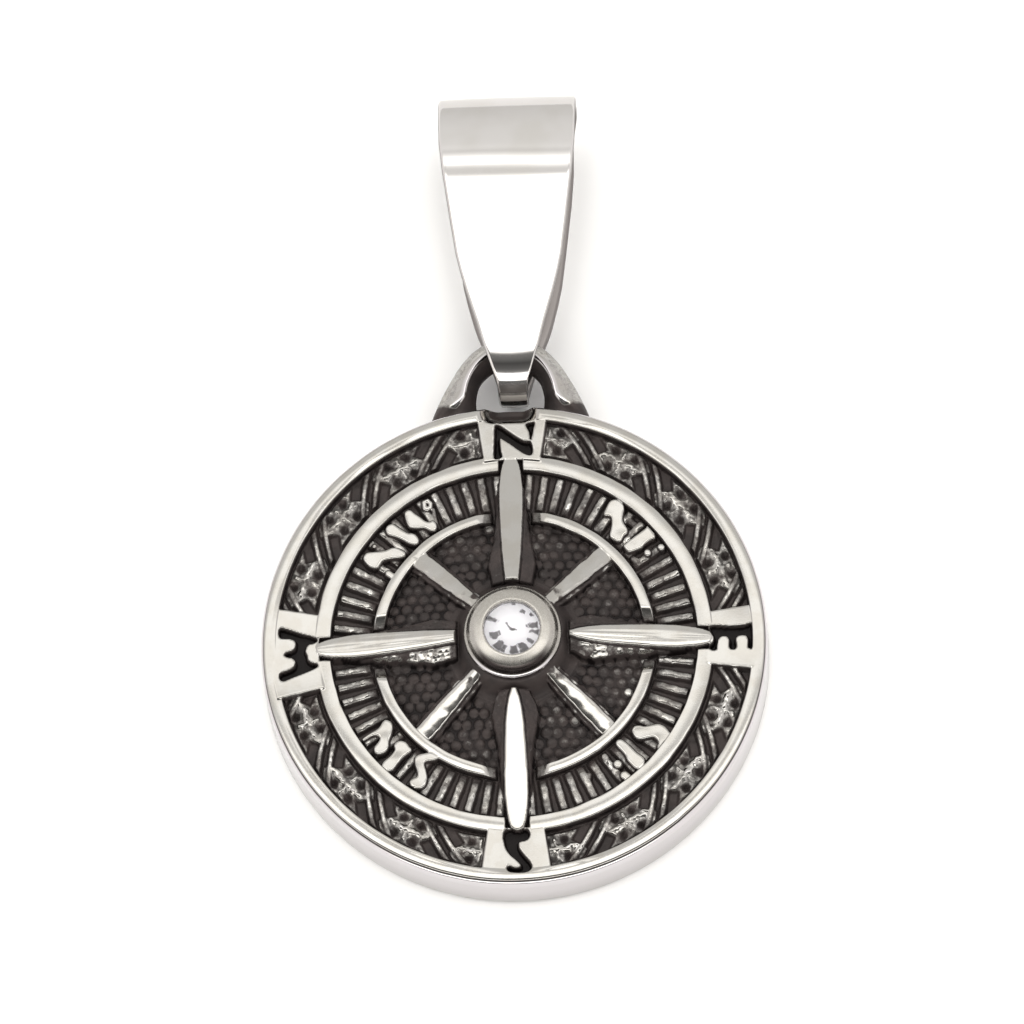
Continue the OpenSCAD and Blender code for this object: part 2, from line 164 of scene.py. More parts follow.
# Outlines of the recessed letters in the plates, in millimetres
PLATE_LETTERS = [
    [(-0.83, 12.75), (-0.69, 12.87), (-0.12, 12.45), (0.39, 12.06), (0.77, 11.85), (1.07, 11.83), (1.2, 11.52),
     (1.2, 11.18), (1.1, 11.02), (0.85, 11.08), (0.46, 11.35), (0.08, 11.66), (-0.27, 11.92), (-0.56, 12.1),
     (-0.59, 11.77), (-0.54, 11.27), (-0.5, 10.95), (-0.88, 10.9), (-0.86, 12.02)],
    [(0.9, 12.87), (1.33, 12.98), (1.28, 12.6), (1.2, 12.2), (1.12, 11.95), (1.08, 12.4)],
    [(10.82, 0.58), (11.11, 0.69), (11.96, 0.62), (12.73, 0.66), (13.05, 0.76), (13.14, 0.6), (13.14, -0.61),
     (13.03, -0.7), (12.93, -0.61), (12.95, -0.23), (12.87, 0.03), (12.6, 0.09), (12.34, 0.02), (12.23, -0.15),
     (12.26, -0.4), (12.25, -0.65), (12.11, -0.75), (11.93, -0.65), (11.89, -0.4), (11.92, -0.19), (11.8, 0.02),
     (11.55, 0.08), (11.35, -0.02), (11.23, -0.23), (11.19, -0.52), (11.15, -0.72), (10.95, -0.74), (10.8, -0.62),
     (10.84, -0.45), (10.99, -0.32), (11.06, -0.07), (10.99, 0.18)],
    [(-0.75, -11.03), (-0.63, -10.87), (-0.36, -10.84), (0.11, -10.89), (0.38, -10.84), (0.58, -10.92), (0.66, -11.2),
     (0.54, -11.44), (0.34, -11.53), (0.06, -11.6), (0.03, -11.8), (0.06, -11.97), (0.19, -12.2), (0.42, -12.5),
     (0.65, -12.79), (0.73, -13.04), (0.65, -13.22), (0.42, -13.35), (0.03, -13.37), (-0.36, -13.34), (-0.55, -13.25),
     (-0.61, -13.08), (-0.5, -12.98), (-0.32, -13.07), (-0.12, -13.12), (0.11, -13.06), (0.15, -12.91),
     (-0.05, -12.66), (-0.36, -12.37), (-0.55, -12.12), (-0.67, -11.87), (-0.74, -11.54), (-0.79, -11.28)],
    [(-12.99, 1.11), (-12.91, 1.31), (-12.73, 1.31), (-12.27, 1.15), (-11.73, 0.94), (-11.19, 0.78), (-10.92, 0.64),
     (-10.9, 0.5), (-11.1, 0.38), (-11.35, 0.33), (-11.5, 0.15), (-11.55, -0.1), (-11.46, -0.35), (-11.42, -0.6),
     (-11.2, -0.78), (-10.92, -0.85), (-10.9, -1.0), (-11.2, -1.17), (-11.73, -1.39), (-12.27, -1.59),
     (-12.65, -1.75), (-12.85, -1.76), (-12.98, -1.62), (-12.96, -1.4), (-12.81, -1.28), (-12.5, -1.18),
     (-12.2, -1.02), (-12.09, -0.82), (-12.1, -0.6), (-12.27, -0.43), (-12.5, -0.39), (-12.68, -0.27),
     (-12.65, -0.18), (-12.5, -0.1), (-12.31, -0.06), (-12.1, 0.1), (-12.05, 0.36), (-12.1, 0.57), (-12.35, 0.69),
     (-12.73, 0.72), (-12.94, 0.82)],
]

# Right half of the loop's plan, from the foot to the top: outer edge, crest and hole
LOOP_OUTER = [
    (4.47, 13.3), (4.3, 13.85), (3.85, 14.9), (3.4, 15.75), (2.75, 16.8), (1.95, 17.65), (1.0, 18.2), (0, 18.37)]
LOOP_CREST = [
    (3.75, 13.6), (3.2, 14.12), (2.62, 14.78), (2.4, 15.6), (2.05, 16.35), (1.55, 16.95), (0.8, 17.36), (0, 17.5)]
LOOP_HOLE = [
    (1.55, 13.6), (1.8, 13.95), (1.9, 14.45), (1.86, 15.05), (1.68, 15.7), (1.3, 16.19), (0.7, 16.6), (0, 16.74)]
# Sections of the loop: shares of the outer edge, crest and hole, height, distance kept below the crest, and shine
LOOP_SECTIONS = [
    (0.9, 0, 0.1, 1.5, 0, 0.2), (0.97, 0, 0.03, 1.62, 0, 0.3), (1, 0, 0, 1.9, 0, 0.5),
    (0.985, 0.015, 0, 2.3, 0, 0.58), (0.93, 0.07, 0, 2.5, 0, 0.64), (0.8, 0.2, 0, 2.66, 0, 0.68),
    (0.5, 0.5, 0, 2.9, 0, 0.64), (0.25, 0.75, 0, 3.05, 0, 0.8), (0.1, 0.9, 0, 3.14, 0, 1.5), (0, 1, 0, 3.18, 0, 1.9),
    (0, 0.94, 0.06, 3.18, 0, 2.0), (0, 0.86, 0.14, 3.18, 0.03, 1.8), (0, 0.78, 0.22, 3.06, 0, 0.2),
    (0, 0.55, 0.45, 2.86, 0, -0.1), (0, 0.3, 0.7, 2.66, 0, -0.14), (0, 0, 1, 2.42, 0, -0.12),
    (0, 0, 1, 2.05, 0, -0.1), (0.03, 0, 0.97, 1.7, 0, -0.1), (0.15, 0, 0.85, 1.5, 0, 0.0)]

# The bezel's section from its hidden underside over the top to its hidden inside: radius and height
BEZEL = [
    (1.3, 5.04), (2.3, 5.03), (2.55, 5.05), (2.65, 5.09), (2.69, 5.14), (2.7, 5.2), (2.7, 5.38), (2.69, 5.44),
    (2.67, 5.48), (2.64, 5.515), (2.6, 5.55), (2.56, 5.585), (2.53, 5.625), (2.5, 5.69), (2.46, 5.78),
    (2.42, 5.86), (2.38, 5.925), (2.33, 5.985), (2.27, 6.04), (2.2, 6.085), (2.12, 6.122), (2.04, 6.15),
    (1.95, 6.178), (1.85, 6.205), (1.76, 6.23), (1.7, 6.246), (1.65, 6.246), (1.6, 6.22), (1.56, 6.15),
    (1.54, 6.05), (1.55, 5.95), (1.62, 5.8), (1.67, 5.6), (1.2, 5.1), (0.6, 4.6), (0.1, 4.3)]

# Half widths of the bail's strap, by the distance along the length from the bottom bend's middle
STRAP = [
    (-2.7, 0.82), (-2.2, 0.84), (-1.8, 0.92), (-1.4, 1.06), (-0.7, 1.28), (0, 1.52), (1.2, 1.85), (2.9, 2.38),
    (4.1, 2.71), (5.1, 2.94), (7, 3.22), (10, 3.62), (11.7, 3.77), (15.4, 3.82),
]
# The strap's outer line from under the bottom bend, up the front leaf and over the top fold, as arcs: the way that the
# strap faces at the end of each, in degrees from overhead towards the north, its radius and its number of steps
STRAP_ARCS = [
    (-90, 2.6, 24), (-60, 2.844, 12), (-32, 2.0426, 12), (-18, 3.3, 8), (-10.3, 6, 5), (-6.2, 130, 34), (-4.5, 9, 3),
    (-1.8, 14, 5), (5, 7, 9), (8, 5.5, 3), (35, 6.5, 16), (90, 2.513, 20), (180, 3.4388, 40)]
# Depth of its rounded edges below its face
STRAP_EDGE_DEPTH = 0.07
# The strap's section: place across in half widths, shift, depth and polish; polish 0 on its sides and inner face paints
# unpolished steel, darkened also as painted shade
STRAP_SECTION = [
    (u, -0.16 * u if u < 0 else -0.07 * u, 0.03 * u * u, 1) for u in (-1, -0.96, -0.8, -0.5, 0, 0.5, 0.8, 0.96, 1)] + [
    (1, -0.04, STRAP_EDGE_DEPTH, 1), (1, -0.01, 0.13, 0), (1, 0, 0.26, 0), (1, 0, 0.55, 0), (1, -0.04, 0.65, 0),
    (1, -0.14, 0.7, 0), (0.5, -0.07, 0.7, 0), (0, 0, 0.7, 0), (-0.5, 0.07, 0.7, 0), (-1, 0.14, 0.7, 0),
    (-1, 0.04, 0.65, 0), (-1, 0, 0.55, 0), (-1, 0, 0.26, 0), (-1, 0.02, 0.16, 0), (-1, 0.08, STRAP_EDGE_DEPTH, 1)]
# Painted reflections on the bottom bend, dark and bright bands and a glint: the way that the strap faces and its
# polish, where 0 is dark unpolished steel and 2 is a matte bright painted highlight
STRAP_PAINTED_BANDS = [
    (-180, 0), (-104, 0), (-97, 1.5), (-91, 0), (-84, 0), (-80, 1.9), (-70, 1.9), (-65, 0), (-50, 0.1), (-46, 1),
    (180, 1)]

# Painted dark reflections of the stone's facets, on the foil: bearing and half width in degrees, inner and outer radius
PAINTED_FACET_REFLECTIONS = [
    (4, 4, 1.28, 1.42), (33, 7, 0.92, 1.16), (56, 5, 1.1, 1.3), (84, 8, 0.72, 1.38), (102, 6, 0.82, 1.46),
    (127, 5, 0.86, 1.4), (153, 10, 0.84, 1.48), (177, 10, 0.88, 1.48), (203, 5, 0.95, 1.44), (219, 11, 0.78, 1.46),
    (249, 11, 0.7, 1.2), (296, 6, 0.85, 1.45)]
# The short painted dark reflection curve in its middle
PAINTED_REFLECTION_CURVE = [(-0.28, 0.32), (-0.2, 0.12), (-0.02, -0.03), (0.24, -0.1)]

# The studio's soft boxes: angle from overhead towards the front, in degrees, and brightness
SOFT_BOXES = [
    (-180, 0.4), (-100, 0.48), (-60, 0.6), (-41, 0.63), (-36, 0.68), (-30.5, 0.58), (-27, 0.82), (-24.5, 1.22),
    (-18, 1.27), (-16, 0.6), (-12.5, 0.56), (-10.5, 1.7), (7, 1.7), (10, 0.16), (24, 0.055), (36, 0.1), (42, 0.2),
    (46, 1.7), (66, 1.7), (69, 0.11), (92, 0.11), (110, 0.5), (180, 0.4)]
WARMTH = (1, 0.985, 0.95)
VIEW_MIDDLE = (0.03, 7.68, 3.6)
SENSOR_WIDTH = 36
FLOOR_HALF = 1500


def settings(context):
    """The sizes and colours that the panel shows."""
    return context.scene.pendant_sizes, context.scene.pendant_finish, context.scene.pendant_studio


class PendantSizes(bpy.types.PropertyGroup):
    """Sizes of the relief that a maker would change."""

    ring_crown: FloatProperty(
        name="Ring crown", description="How far a ring falls from its crest to its outer edge", default=0.055 * MM,
        min=0, max=0.2 * MM, unit="LENGTH")
    sway: FloatProperty(
        name="Sway", description="Height of the slow unevenness of the polished faces", default=0.02 * MM,
        min=0, max=0.1 * MM, unit="LENGTH")
    ray_rise: FloatProperty(
        name="Ray rise", description="Height that the main rays climb from the tip to the boss", default=1.55 * MM,
        min=1 * MM, max=1.8 * MM, unit="LENGTH")
    small_ray_rise: FloatProperty(
        name="Diagonal ray rise", description="Height that the diagonal rays climb to the boss", default=1.3 * MM,
        min=0.8 * MM, max=1.5 * MM, unit="LENGTH")
    pebble_pitch: FloatProperty(
        name="Pebble pitch", description="Distance between the pebbles of the field", default=0.66 * MM,
        min=0.4 * MM, max=1 * MM, unit="LENGTH")
    rib_pitch: FloatProperty(
        name="Rib pitch", description="Angle between the ribs of the lettered band", default=math.radians(5),
        min=math.radians(3), max=math.radians(6), subtype="ANGLE")
    crumb: FloatProperty(
        name="Crumb height", description="Height of the rough cast crumbs", default=0.07 * MM,
        min=0, max=0.15 * MM, unit="LENGTH")
    turns: IntProperty(
        name="Face steps", description="Steps round the border; the field has half as many", default=1440,
        min=360, max=1440)


class PendantFinish(bpy.types.PropertyGroup):
    """Colours and roughness of the metals and the stone."""

    steel: FloatVectorProperty(
        name="Polished steel", description="Colour of the worn high spots", default=(0.385, 0.376, 0.36),
        subtype="COLOR", size=3, min=0, max=1)
    # Bare steel: the unblackened side wall and the loop's crest, also used for painted highlights on the top of the
    # wall and on the bezel's foot.
    bare_and_painted_highlight: FloatVectorProperty(
        name="Bare steel", description="Colour of the side wall, which wasn't blackened", default=(0.6, 0.575, 0.59),
        subtype="COLOR", size=3, min=0, max=1)
    oxide: FloatVectorProperty(
        name="Blackened steel", description="Colour of the antiqued recesses", default=(0.038, 0.032, 0.031),
        subtype="COLOR", size=3, min=0, max=1)
    satin: FloatVectorProperty(
        name="Satin steel", description="Colour of the bezel", default=(0.35, 0.335, 0.31),
        subtype="COLOR", size=3, min=0, max=1)
    mirror: FloatVectorProperty(
        name="Mirror steel", description="Colour of the bail", default=(0.56, 0.545, 0.54),
        subtype="COLOR", size=3, min=0, max=1)
    # Unpolished steel of the strap's cut edges and inner side, also used for painted shade there and for the painted
    # dark bands on its bend.
    unpolished_and_painted_dark: FloatVectorProperty(
        name="Unpolished steel", description="Colour of the strap's cut edges and inner side",
        default=(0.2, 0.185, 0.18), subtype="COLOR", size=3, min=0, max=1)
    stone: FloatVectorProperty(
        name="Stone", description="Colour of the clear stone", default=(0.98, 0.985, 1.0),
        subtype="COLOR", size=3, min=0, max=1)
    floor: FloatVectorProperty(
        name="Floor", description="Colour of the floor", default=(0.93, 0.93, 0.93),
        subtype="COLOR", size=3, min=0, max=1)
    polish: FloatProperty(
        name="Polish", description="Roughness of the polished high spots", default=0.12, min=0.02, max=0.6,
        subtype="FACTOR")


class PendantStudio(bpy.types.PropertyGroup):
    """Light and camera."""

    light: FloatProperty(
        name="Light", description="Brightness of the studio", default=1.95, min=0.1, max=4)
    elevation: FloatProperty(
        name="Elevation", description="Camera's height angle above the floor", default=math.radians(70.1),
        subtype="ANGLE")
    azimuth: FloatProperty(
        name="Azimuth", description="Camera's turn from the south towards the east", default=math.radians(6.1),
        subtype="ANGLE")
    roll: FloatProperty(
        name="Roll", description="Camera's roll to the right", default=math.radians(7.56), subtype="ANGLE")
    distance: FloatProperty(
        name="Distance", description="From the camera to the pendant", default=1.5, min=0.3, max=4, unit="LENGTH")
    view_width: FloatProperty(
        name="View width", description="Width of the picture at the pendant", default=56.64 * MM, min=20 * MM,
        max=200 * MM, unit="LENGTH")


class Socket:
    """An output socket of a node tree. Arithmetic on it adds Math nodes."""

    def __init__(self, nodes, socket):
        self.nodes = nodes
        self.socket = socket

    def math(self, operation, *values, clamp=False):
        return self.nodes.add("ShaderNodeMath", {"operation": operation, "use_clamp": clamp}, [self, *values])

    def __add__(self, other):
        return self.math("ADD", other)

    __radd__ = __add__

    def __mul__(self, other):
        return self.math("MULTIPLY", other)

    __rmul__ = __mul__

    def __sub__(self, other):
        return self.math("SUBTRACT", other)

    def __rsub__(self, other):
        return (-self) + other

    def __truediv__(self, other):
        return self.math("DIVIDE", other)

    def __neg__(self):
        return self.math("MULTIPLY", -1.0)

    def __abs__(self):
        return self.math("ABSOLUTE")

    def clamp(self):
        return self.math("ADD", 0.0, clamp=True)

    def step(self, low, high):
        """0 below low, 1 above high, smooth between."""
        values = {"Value": self, "From Min": low, "From Max": high}
        return self.nodes.add("ShaderNodeMapRange", {"interpolation_type": "SMOOTHSTEP"}, values)


class Nodes:
    """A node tree, emptied and then filled by add()."""

    def __init__(self, tree):
        self.tree = tree
        tree.nodes.clear()

    def add(self, kind, settings=None, inputs=None, output=0):
        """Adds a node: its settings first, with a ramp's stops, then the values or links of its sockets."""
        node = self.tree.nodes.new(kind)
        for name, value in (settings or {}).items():
            if name == "stops":
                self.set_stops(node.color_ramp, value)
            elif name == "ramp":
                node.color_ramp.interpolation = value
            else:
                setattr(node, name, value)
        pairs = enumerate(inputs) if isinstance(inputs, list) else (inputs or {}).items()
        for name, value in pairs:
            if isinstance(value, Socket):
                self.tree.links.new(value.socket, node.inputs[name])
            else:
                node.inputs[name].default_value = value
        return Socket(self, node.outputs[output]) if node.outputs else node

    @staticmethod
    def set_stops(ramp, stops):
        while len(ramp.elements) > 1:
            ramp.elements.remove(ramp.elements[-1])
        ramp.elements[0].position, ramp.elements[0].color = stops[0]
        for place, colour in stops[1:]:
            ramp.elements.new(place).color = colour

    def mix(self, factor, a, b):
        """A colour between a and b."""
        values = {0: factor, 6: a, 7: b}
        return self.add("ShaderNodeMix", {"data_type": "RGBA", "clamp_factor": True}, values, output=2)

    def place(self):
        """The point on the object in millimetres."""
        spot = self.add("ShaderNodeTexCoord", output="Object")
        return self.add("ShaderNodeVectorMath", {"operation": "SCALE"}, {0: spot, 3: 1 / MM})

    def noise(self, scale, detail=3.0, rough=0.55, at=None):
        """Noise around 0.5 with features of 1/scale millimetres."""
        values = {"Vector": at or self.place(), "Scale": scale, "Detail": detail, "Roughness": rough}
        return self.add("ShaderNodeTexNoise", inputs=values)

    def mask(self, name):
        """A value that the mesh carries at each vertex."""
        return self.add("ShaderNodeAttribute", {"attribute_name": name}, output="Fac")


def rgba(colour):
    return (*colour, 1.0)


def make_material(name, fill):
    """A node material whose tree fill() makes and whose shader it returns."""
    material = bpy.data.materials.new(name)
    material.use_nodes = True
    nodes = Nodes(material.node_tree)
    nodes.add("ShaderNodeOutputMaterial", inputs={"Surface": fill(nodes)})
    return material


def antiqued_steel(finish):
    """Cast steel whose recesses are blackened and whose high spots show bright wear, with painted shade and painted
    highlights carried in the polish mask.
    """

    def fill(nodes):
        polish = nodes.mask("polish")
        grain = nodes.noise(4.0, 4.0)
        fine = nodes.noise(14.0, 3.0)
        wear = (polish + (grain - 0.5) * 0.45 + (fine - 0.5) * 0.25).step(0.28, 0.78)
        # Negative polish paints the darkest black: blackened recesses, and painted shade on the walls of raised forms.
        soot_and_painted_shade = (-polish).step(0.02, 0.3)
        cloud = nodes.noise(0.9, 3.0)
        grime_and_painted_shade = nodes.mix(cloud.step(0.35, 0.65), rgba(finish.oxide), (0.052, 0.042, 0.04, 1))
        black = nodes.mix(soot_and_painted_shade, grime_and_painted_shade, (0.008, 0.006, 0.006, 1))
        worn_and_painted_highlight = nodes.mix(cloud.step(0.4, 0.62), rgba(finish.steel), (0.365, 0.352, 0.33, 1))
        # Polish above 1 paints bare steel: the unblackened wall and the loop's crest, and painted highlights.
        bright = nodes.mix((polish - 1.0).clamp(), worn_and_painted_highlight, rgba(finish.bare_and_painted_highlight))
        height = (fine + grain * 0.6) * (1.0 - wear * 0.88)
        bump = nodes.add("ShaderNodeBump", inputs={"Strength": 0.18, "Distance": 0.05 * MM, "Height": height})
        return nodes.add("ShaderNodeBsdfPrincipled", inputs={
            "Base Color": nodes.mix(wear, black, bright),
            "Metallic": wear * 0.8 + 0.2,
            "Roughness": wear * (finish.polish - 0.42) + 0.42 + (fine - 0.5) * 0.1,
            "Specular IOR Level": 0.15,
            "Normal": bump,
        })

    return make_material("antiqued_steel", fill)


def satin_steel(finish):
    """Turned steel with a satin grain that runs round the bezel, with a painted highlight and painted shade on its
    south side.
    """

    def fill(nodes):
        grain = nodes.noise(5.0, 4.0)
        polish = nodes.mask("polish")
        # High polish paints the foot in bare steel as a painted highlight; low polish paints the flank in oxide as
        # painted shade.
        foot, grime_and_painted_shade = polish.clamp(), (-polish).clamp()
        tone = nodes.mix(grain.step(0.35, 0.65), rgba(finish.satin), (0.38, 0.365, 0.34, 1))
        height = nodes.noise(12.0)
        bump = nodes.add("ShaderNodeBump", inputs={"Strength": 0.03, "Distance": 0.02 * MM, "Height": height})
        return nodes.add("ShaderNodeBsdfPrincipled", inputs={
            "Base Color": nodes.mix(grime_and_painted_shade, nodes.mix(foot, tone, rgba(finish.bare_and_painted_highlight)), rgba(finish.oxide)),
            "Metallic": 1.0,
            "Roughness": 0.27 - foot * 0.15 + (grain - 0.5) * 0.08,
            "Normal": bump,
        })

    return make_material("satin_steel", fill)


def mirror_steel(finish):
    """Rolled steel polished to a mirror, with faint hairlines along the strap."""

    def fill(nodes):
        stretched = nodes.add("ShaderNodeVectorMath", {"operation": "MULTIPLY"}, {0: nodes.place(), 1: (6.0, 0.4, 0.4)})
        hairlines = nodes.noise(4.0, 4.0, at=stretched)
        haze = nodes.noise(0.35, 2.0)
        polish = nodes.mask("polish")
        # Polish below 1 paints unpolished steel, also as painted shade and painted dark reflections; above 1 it paints
        # a matte bright painted highlight.
        unpolished_and_painted_dark, matte_painted_highlight = (1.0 - polish).clamp(), (polish - 1.0).clamp()
        polished = nodes.mix(haze.step(0.35, 0.65), rgba(finish.mirror), (0.53, 0.515, 0.5, 1))
        worn_and_painted_highlight = nodes.mix(matte_painted_highlight, polished, (0.85, 0.81, 0.76, 1))
        bump = nodes.add("ShaderNodeBump", inputs={"Strength": 0.025, "Distance": 0.02 * MM, "Height": hairlines})
        return nodes.add("ShaderNodeBsdfPrincipled", inputs={
            "Base Color": nodes.mix(unpolished_and_painted_dark, worn_and_painted_highlight, rgba(finish.unpolished_and_painted_dark)),
            "Metallic": 1.0,
            "Roughness": 0.05 + haze * 0.05 + (hairlines - 0.5) * 0.03 + unpolished_and_painted_dark * 0.25 + matte_painted_highlight * 0.5,
            "Normal": bump,
        })

    return make_material("mirror_steel", fill)


def clear_stone(finish):
    """Cut clear stone."""

    def fill(nodes):
        haze = nodes.noise(1.2, 2.0)
        return nodes.add("ShaderNodeBsdfPrincipled", inputs={
            "Base Color": nodes.mix(haze.step(0.3, 0.7), rgba(finish.stone), (0.95, 0.96, 1.0, 1)),
            "Roughness": 0.0,
            "IOR": 1.55,
            "Transmission Weight": 1.0,
        })

    return make_material("clear_stone", fill)


def foil_with_painted_glow(finish):
    """Silvered foil behind the stone that glows with painted light, with painted dark reflections of the facets."""

    def fill(nodes):
        haze = nodes.noise(3.0, 2.0)
        dark = nodes.mask("dark")
        lit = nodes.mix(haze, (0.98, 0.97, 0.98, 1), (0.9, 0.89, 0.91, 1))
        return nodes.add("ShaderNodeBsdfPrincipled", inputs={
            "Base Color": nodes.mix(dark, lit, (0.1, 0.09, 0.095, 1)),
            "Metallic": 0.2,
            "Roughness": 0.5 + haze * 0.1,
            # Painted glow: the foil emits light of its own, except where the facets are painted dark.
            "Emission Color": nodes.mix(dark, (1, 0.98, 0.99, 1), (0.0, 0.0, 0.0, 1)),
            "Emission Strength": 0.22,
        })

    return make_material("foil_with_painted_glow", fill)


def pale_floor(finish):
    """Matt pale board."""

    def fill(nodes):
        cloud = nodes.noise(0.02, 3.0)
        return nodes.add("ShaderNodeBsdfPrincipled", inputs={
            "Base Color": nodes.mix(cloud, rgba(finish.floor), (0.95, 0.95, 0.95, 1)),
            "Roughness": 0.8,
            "Specular IOR Level": 0.1,
            "Emission Color": (1, 1, 1, 1),
            "Emission Strength": 0.06,
        })

    return make_material("pale_floor", fill)


def scatter(i, j, seed):
    """A repeatable number from 0 to 1 for each whole pair."""
    n = (i.astype(np.int64) * 374761393 + j.astype(np.int64) * 668265263 + seed * 974634777) & 0xFFFFFFFF
    n = ((n ^ (n >> 13)) * 1274126177) & 0xFFFFFFFF
    return ((n ^ (n >> 16)) & 0xFFFF) / 65535.0


def drift(x, y, pitch, seed):
    """Smooth noise from -1 to 1."""
    u, v = x / pitch, y / pitch
    i, j = np.floor(u), np.floor(v)
    a, b = u - i, v - j
    a, b = a * a * (3 - 2 * a), b * b * (3 - 2 * b)
    low = scatter(i, j, seed) * (1 - a) + scatter(i + 1, j, seed) * a
    high = scatter(i, j + 1, seed) * (1 - a) + scatter(i + 1, j + 1, seed) * a
    return 2 * (low * (1 - b) + high * b) - 1


def nearest_cell(x, y, pitch, jitter, seed):
    """Distance to the nearest of a staggered, jittered lattice of points, and a number for that point."""
    row_pitch = pitch * 0.87
    best = np.full(x.shape, 9.0)
    mark = np.zeros(x.shape)
    row = np.floor(y / row_pitch)
    for dj in (-1, 0, 1, 2):
        j = row + dj
        shift = 0.5 * (j % 2)
        column = np.floor(x / pitch - shift)
        for di in (-1, 0, 1, 2):
            i = column + di
            cx = (i + shift + jitter * (scatter(i, j, seed) - 0.5)) * pitch
            cy = (j + jitter * (scatter(i, j, seed + 1) - 0.5)) * row_pitch
            d = np.hypot(x - cx, y - cy)
            mark = np.where(d < best, scatter(i, j, seed + 2), mark)
            best = np.minimum(best, d)
    return best, mark


def ease(value, low, high):
    """0 below low, 1 above high, smooth between."""
    t = np.clip((value - low) / (high - low), 0, 1)
    return t * t * (3 - 2 * t)


def half_ball(distance, radius):
    """Height of a half ball, from 0 at its edge to 1."""
    return np.sqrt(np.clip(1 - (distance / radius) ** 2, 0, 1))


def edge_fall(inside, width, slope):
    """How far a top falls towards its edge, within a width of it."""
    return slope * np.clip(width - inside, 0, 1)


def arc_length(degrees, radius):
    """Length along a circle, from an angle in degrees."""
    return degrees * math.pi / 180 * radius


def smooth_line(a, b, c, d, t):
    """A point between b and c on the smooth line through all four."""
    return 0.5 * (2 * b + (c - a) * t + (2 * a - 5 * b + 4 * c - d) * t ** 2 + (3 * b - a - 3 * c + d) * t ** 3)


def to_segment(x, y, start, end):
    """Distance to the straight line between two points."""
    (ax, ay), (bx, by) = start, end
    dx, dy = bx - ax, by - ay
    t = np.clip(((x - ax) * dx + (y - ay) * dy) / (dx * dx + dy * dy), 0, 1)
    return np.hypot(x - ax - t * dx, y - ay - t * dy)


def to_stroke(x, y, points):
    """Distance to a line through the points."""
    best = np.full(x.shape, 99.0)
    for start, end in zip(points, points[1:]):
        best = np.minimum(best, to_segment(x, y, start, end))
    return best


def within(x, y, points):
    """Distance to the edge of a smooth closed outline, positive inside it."""
    p = np.array(points)
    before, after, beyond = (np.roll(p, shift, axis=0) for shift in (1, -1, -2))
    line = np.stack([smooth_line(before, p, after, beyond, t) for t in (0.0, 0.25, 0.5, 0.75)], axis=1).reshape(-1, 2)
    low, high = line.min(axis=0) - 0.4, line.max(axis=0) + 0.4
    near = (x > low[0]) & (x < high[0]) & (y > low[1]) & (y < high[1])
    u, v = x[near], y[near]
    best, inside = np.full(u.shape, 99.0), np.zeros(u.shape, bool)
    for (ax, ay), (bx, by) in zip(line, np.roll(line, -1, axis=0)):
        best = np.minimum(best, to_segment(u, v, (ax, ay), (bx, by)))
        if by != ay:
            inside ^= ((ay > v) != (by > v)) & (u < ax + (bx - ax) * (v - ay) / (by - ay))
    out = np.full(x.shape, -9.0)
    out[near] = np.where(inside, best, -best)
    return out


def table(rows, at):
    """A value read from a short table."""
    return np.interp(at, [row[0] for row in rows], [row[1] for row in rows])


def turn_between(bearing, middle):
    """Signed angle from a bearing to each point, in degrees."""
    return (bearing - middle + 180) % 360 - 180


def polar_grid(rows, steps):
    """Radius, angle, x and y at each row and step, clockwise from the north."""
    r, a = np.meshgrid(rows, np.arange(steps) * 2 * math.pi / steps, indexing="ij")
    return r, a, r * np.sin(a), r * np.cos(a)


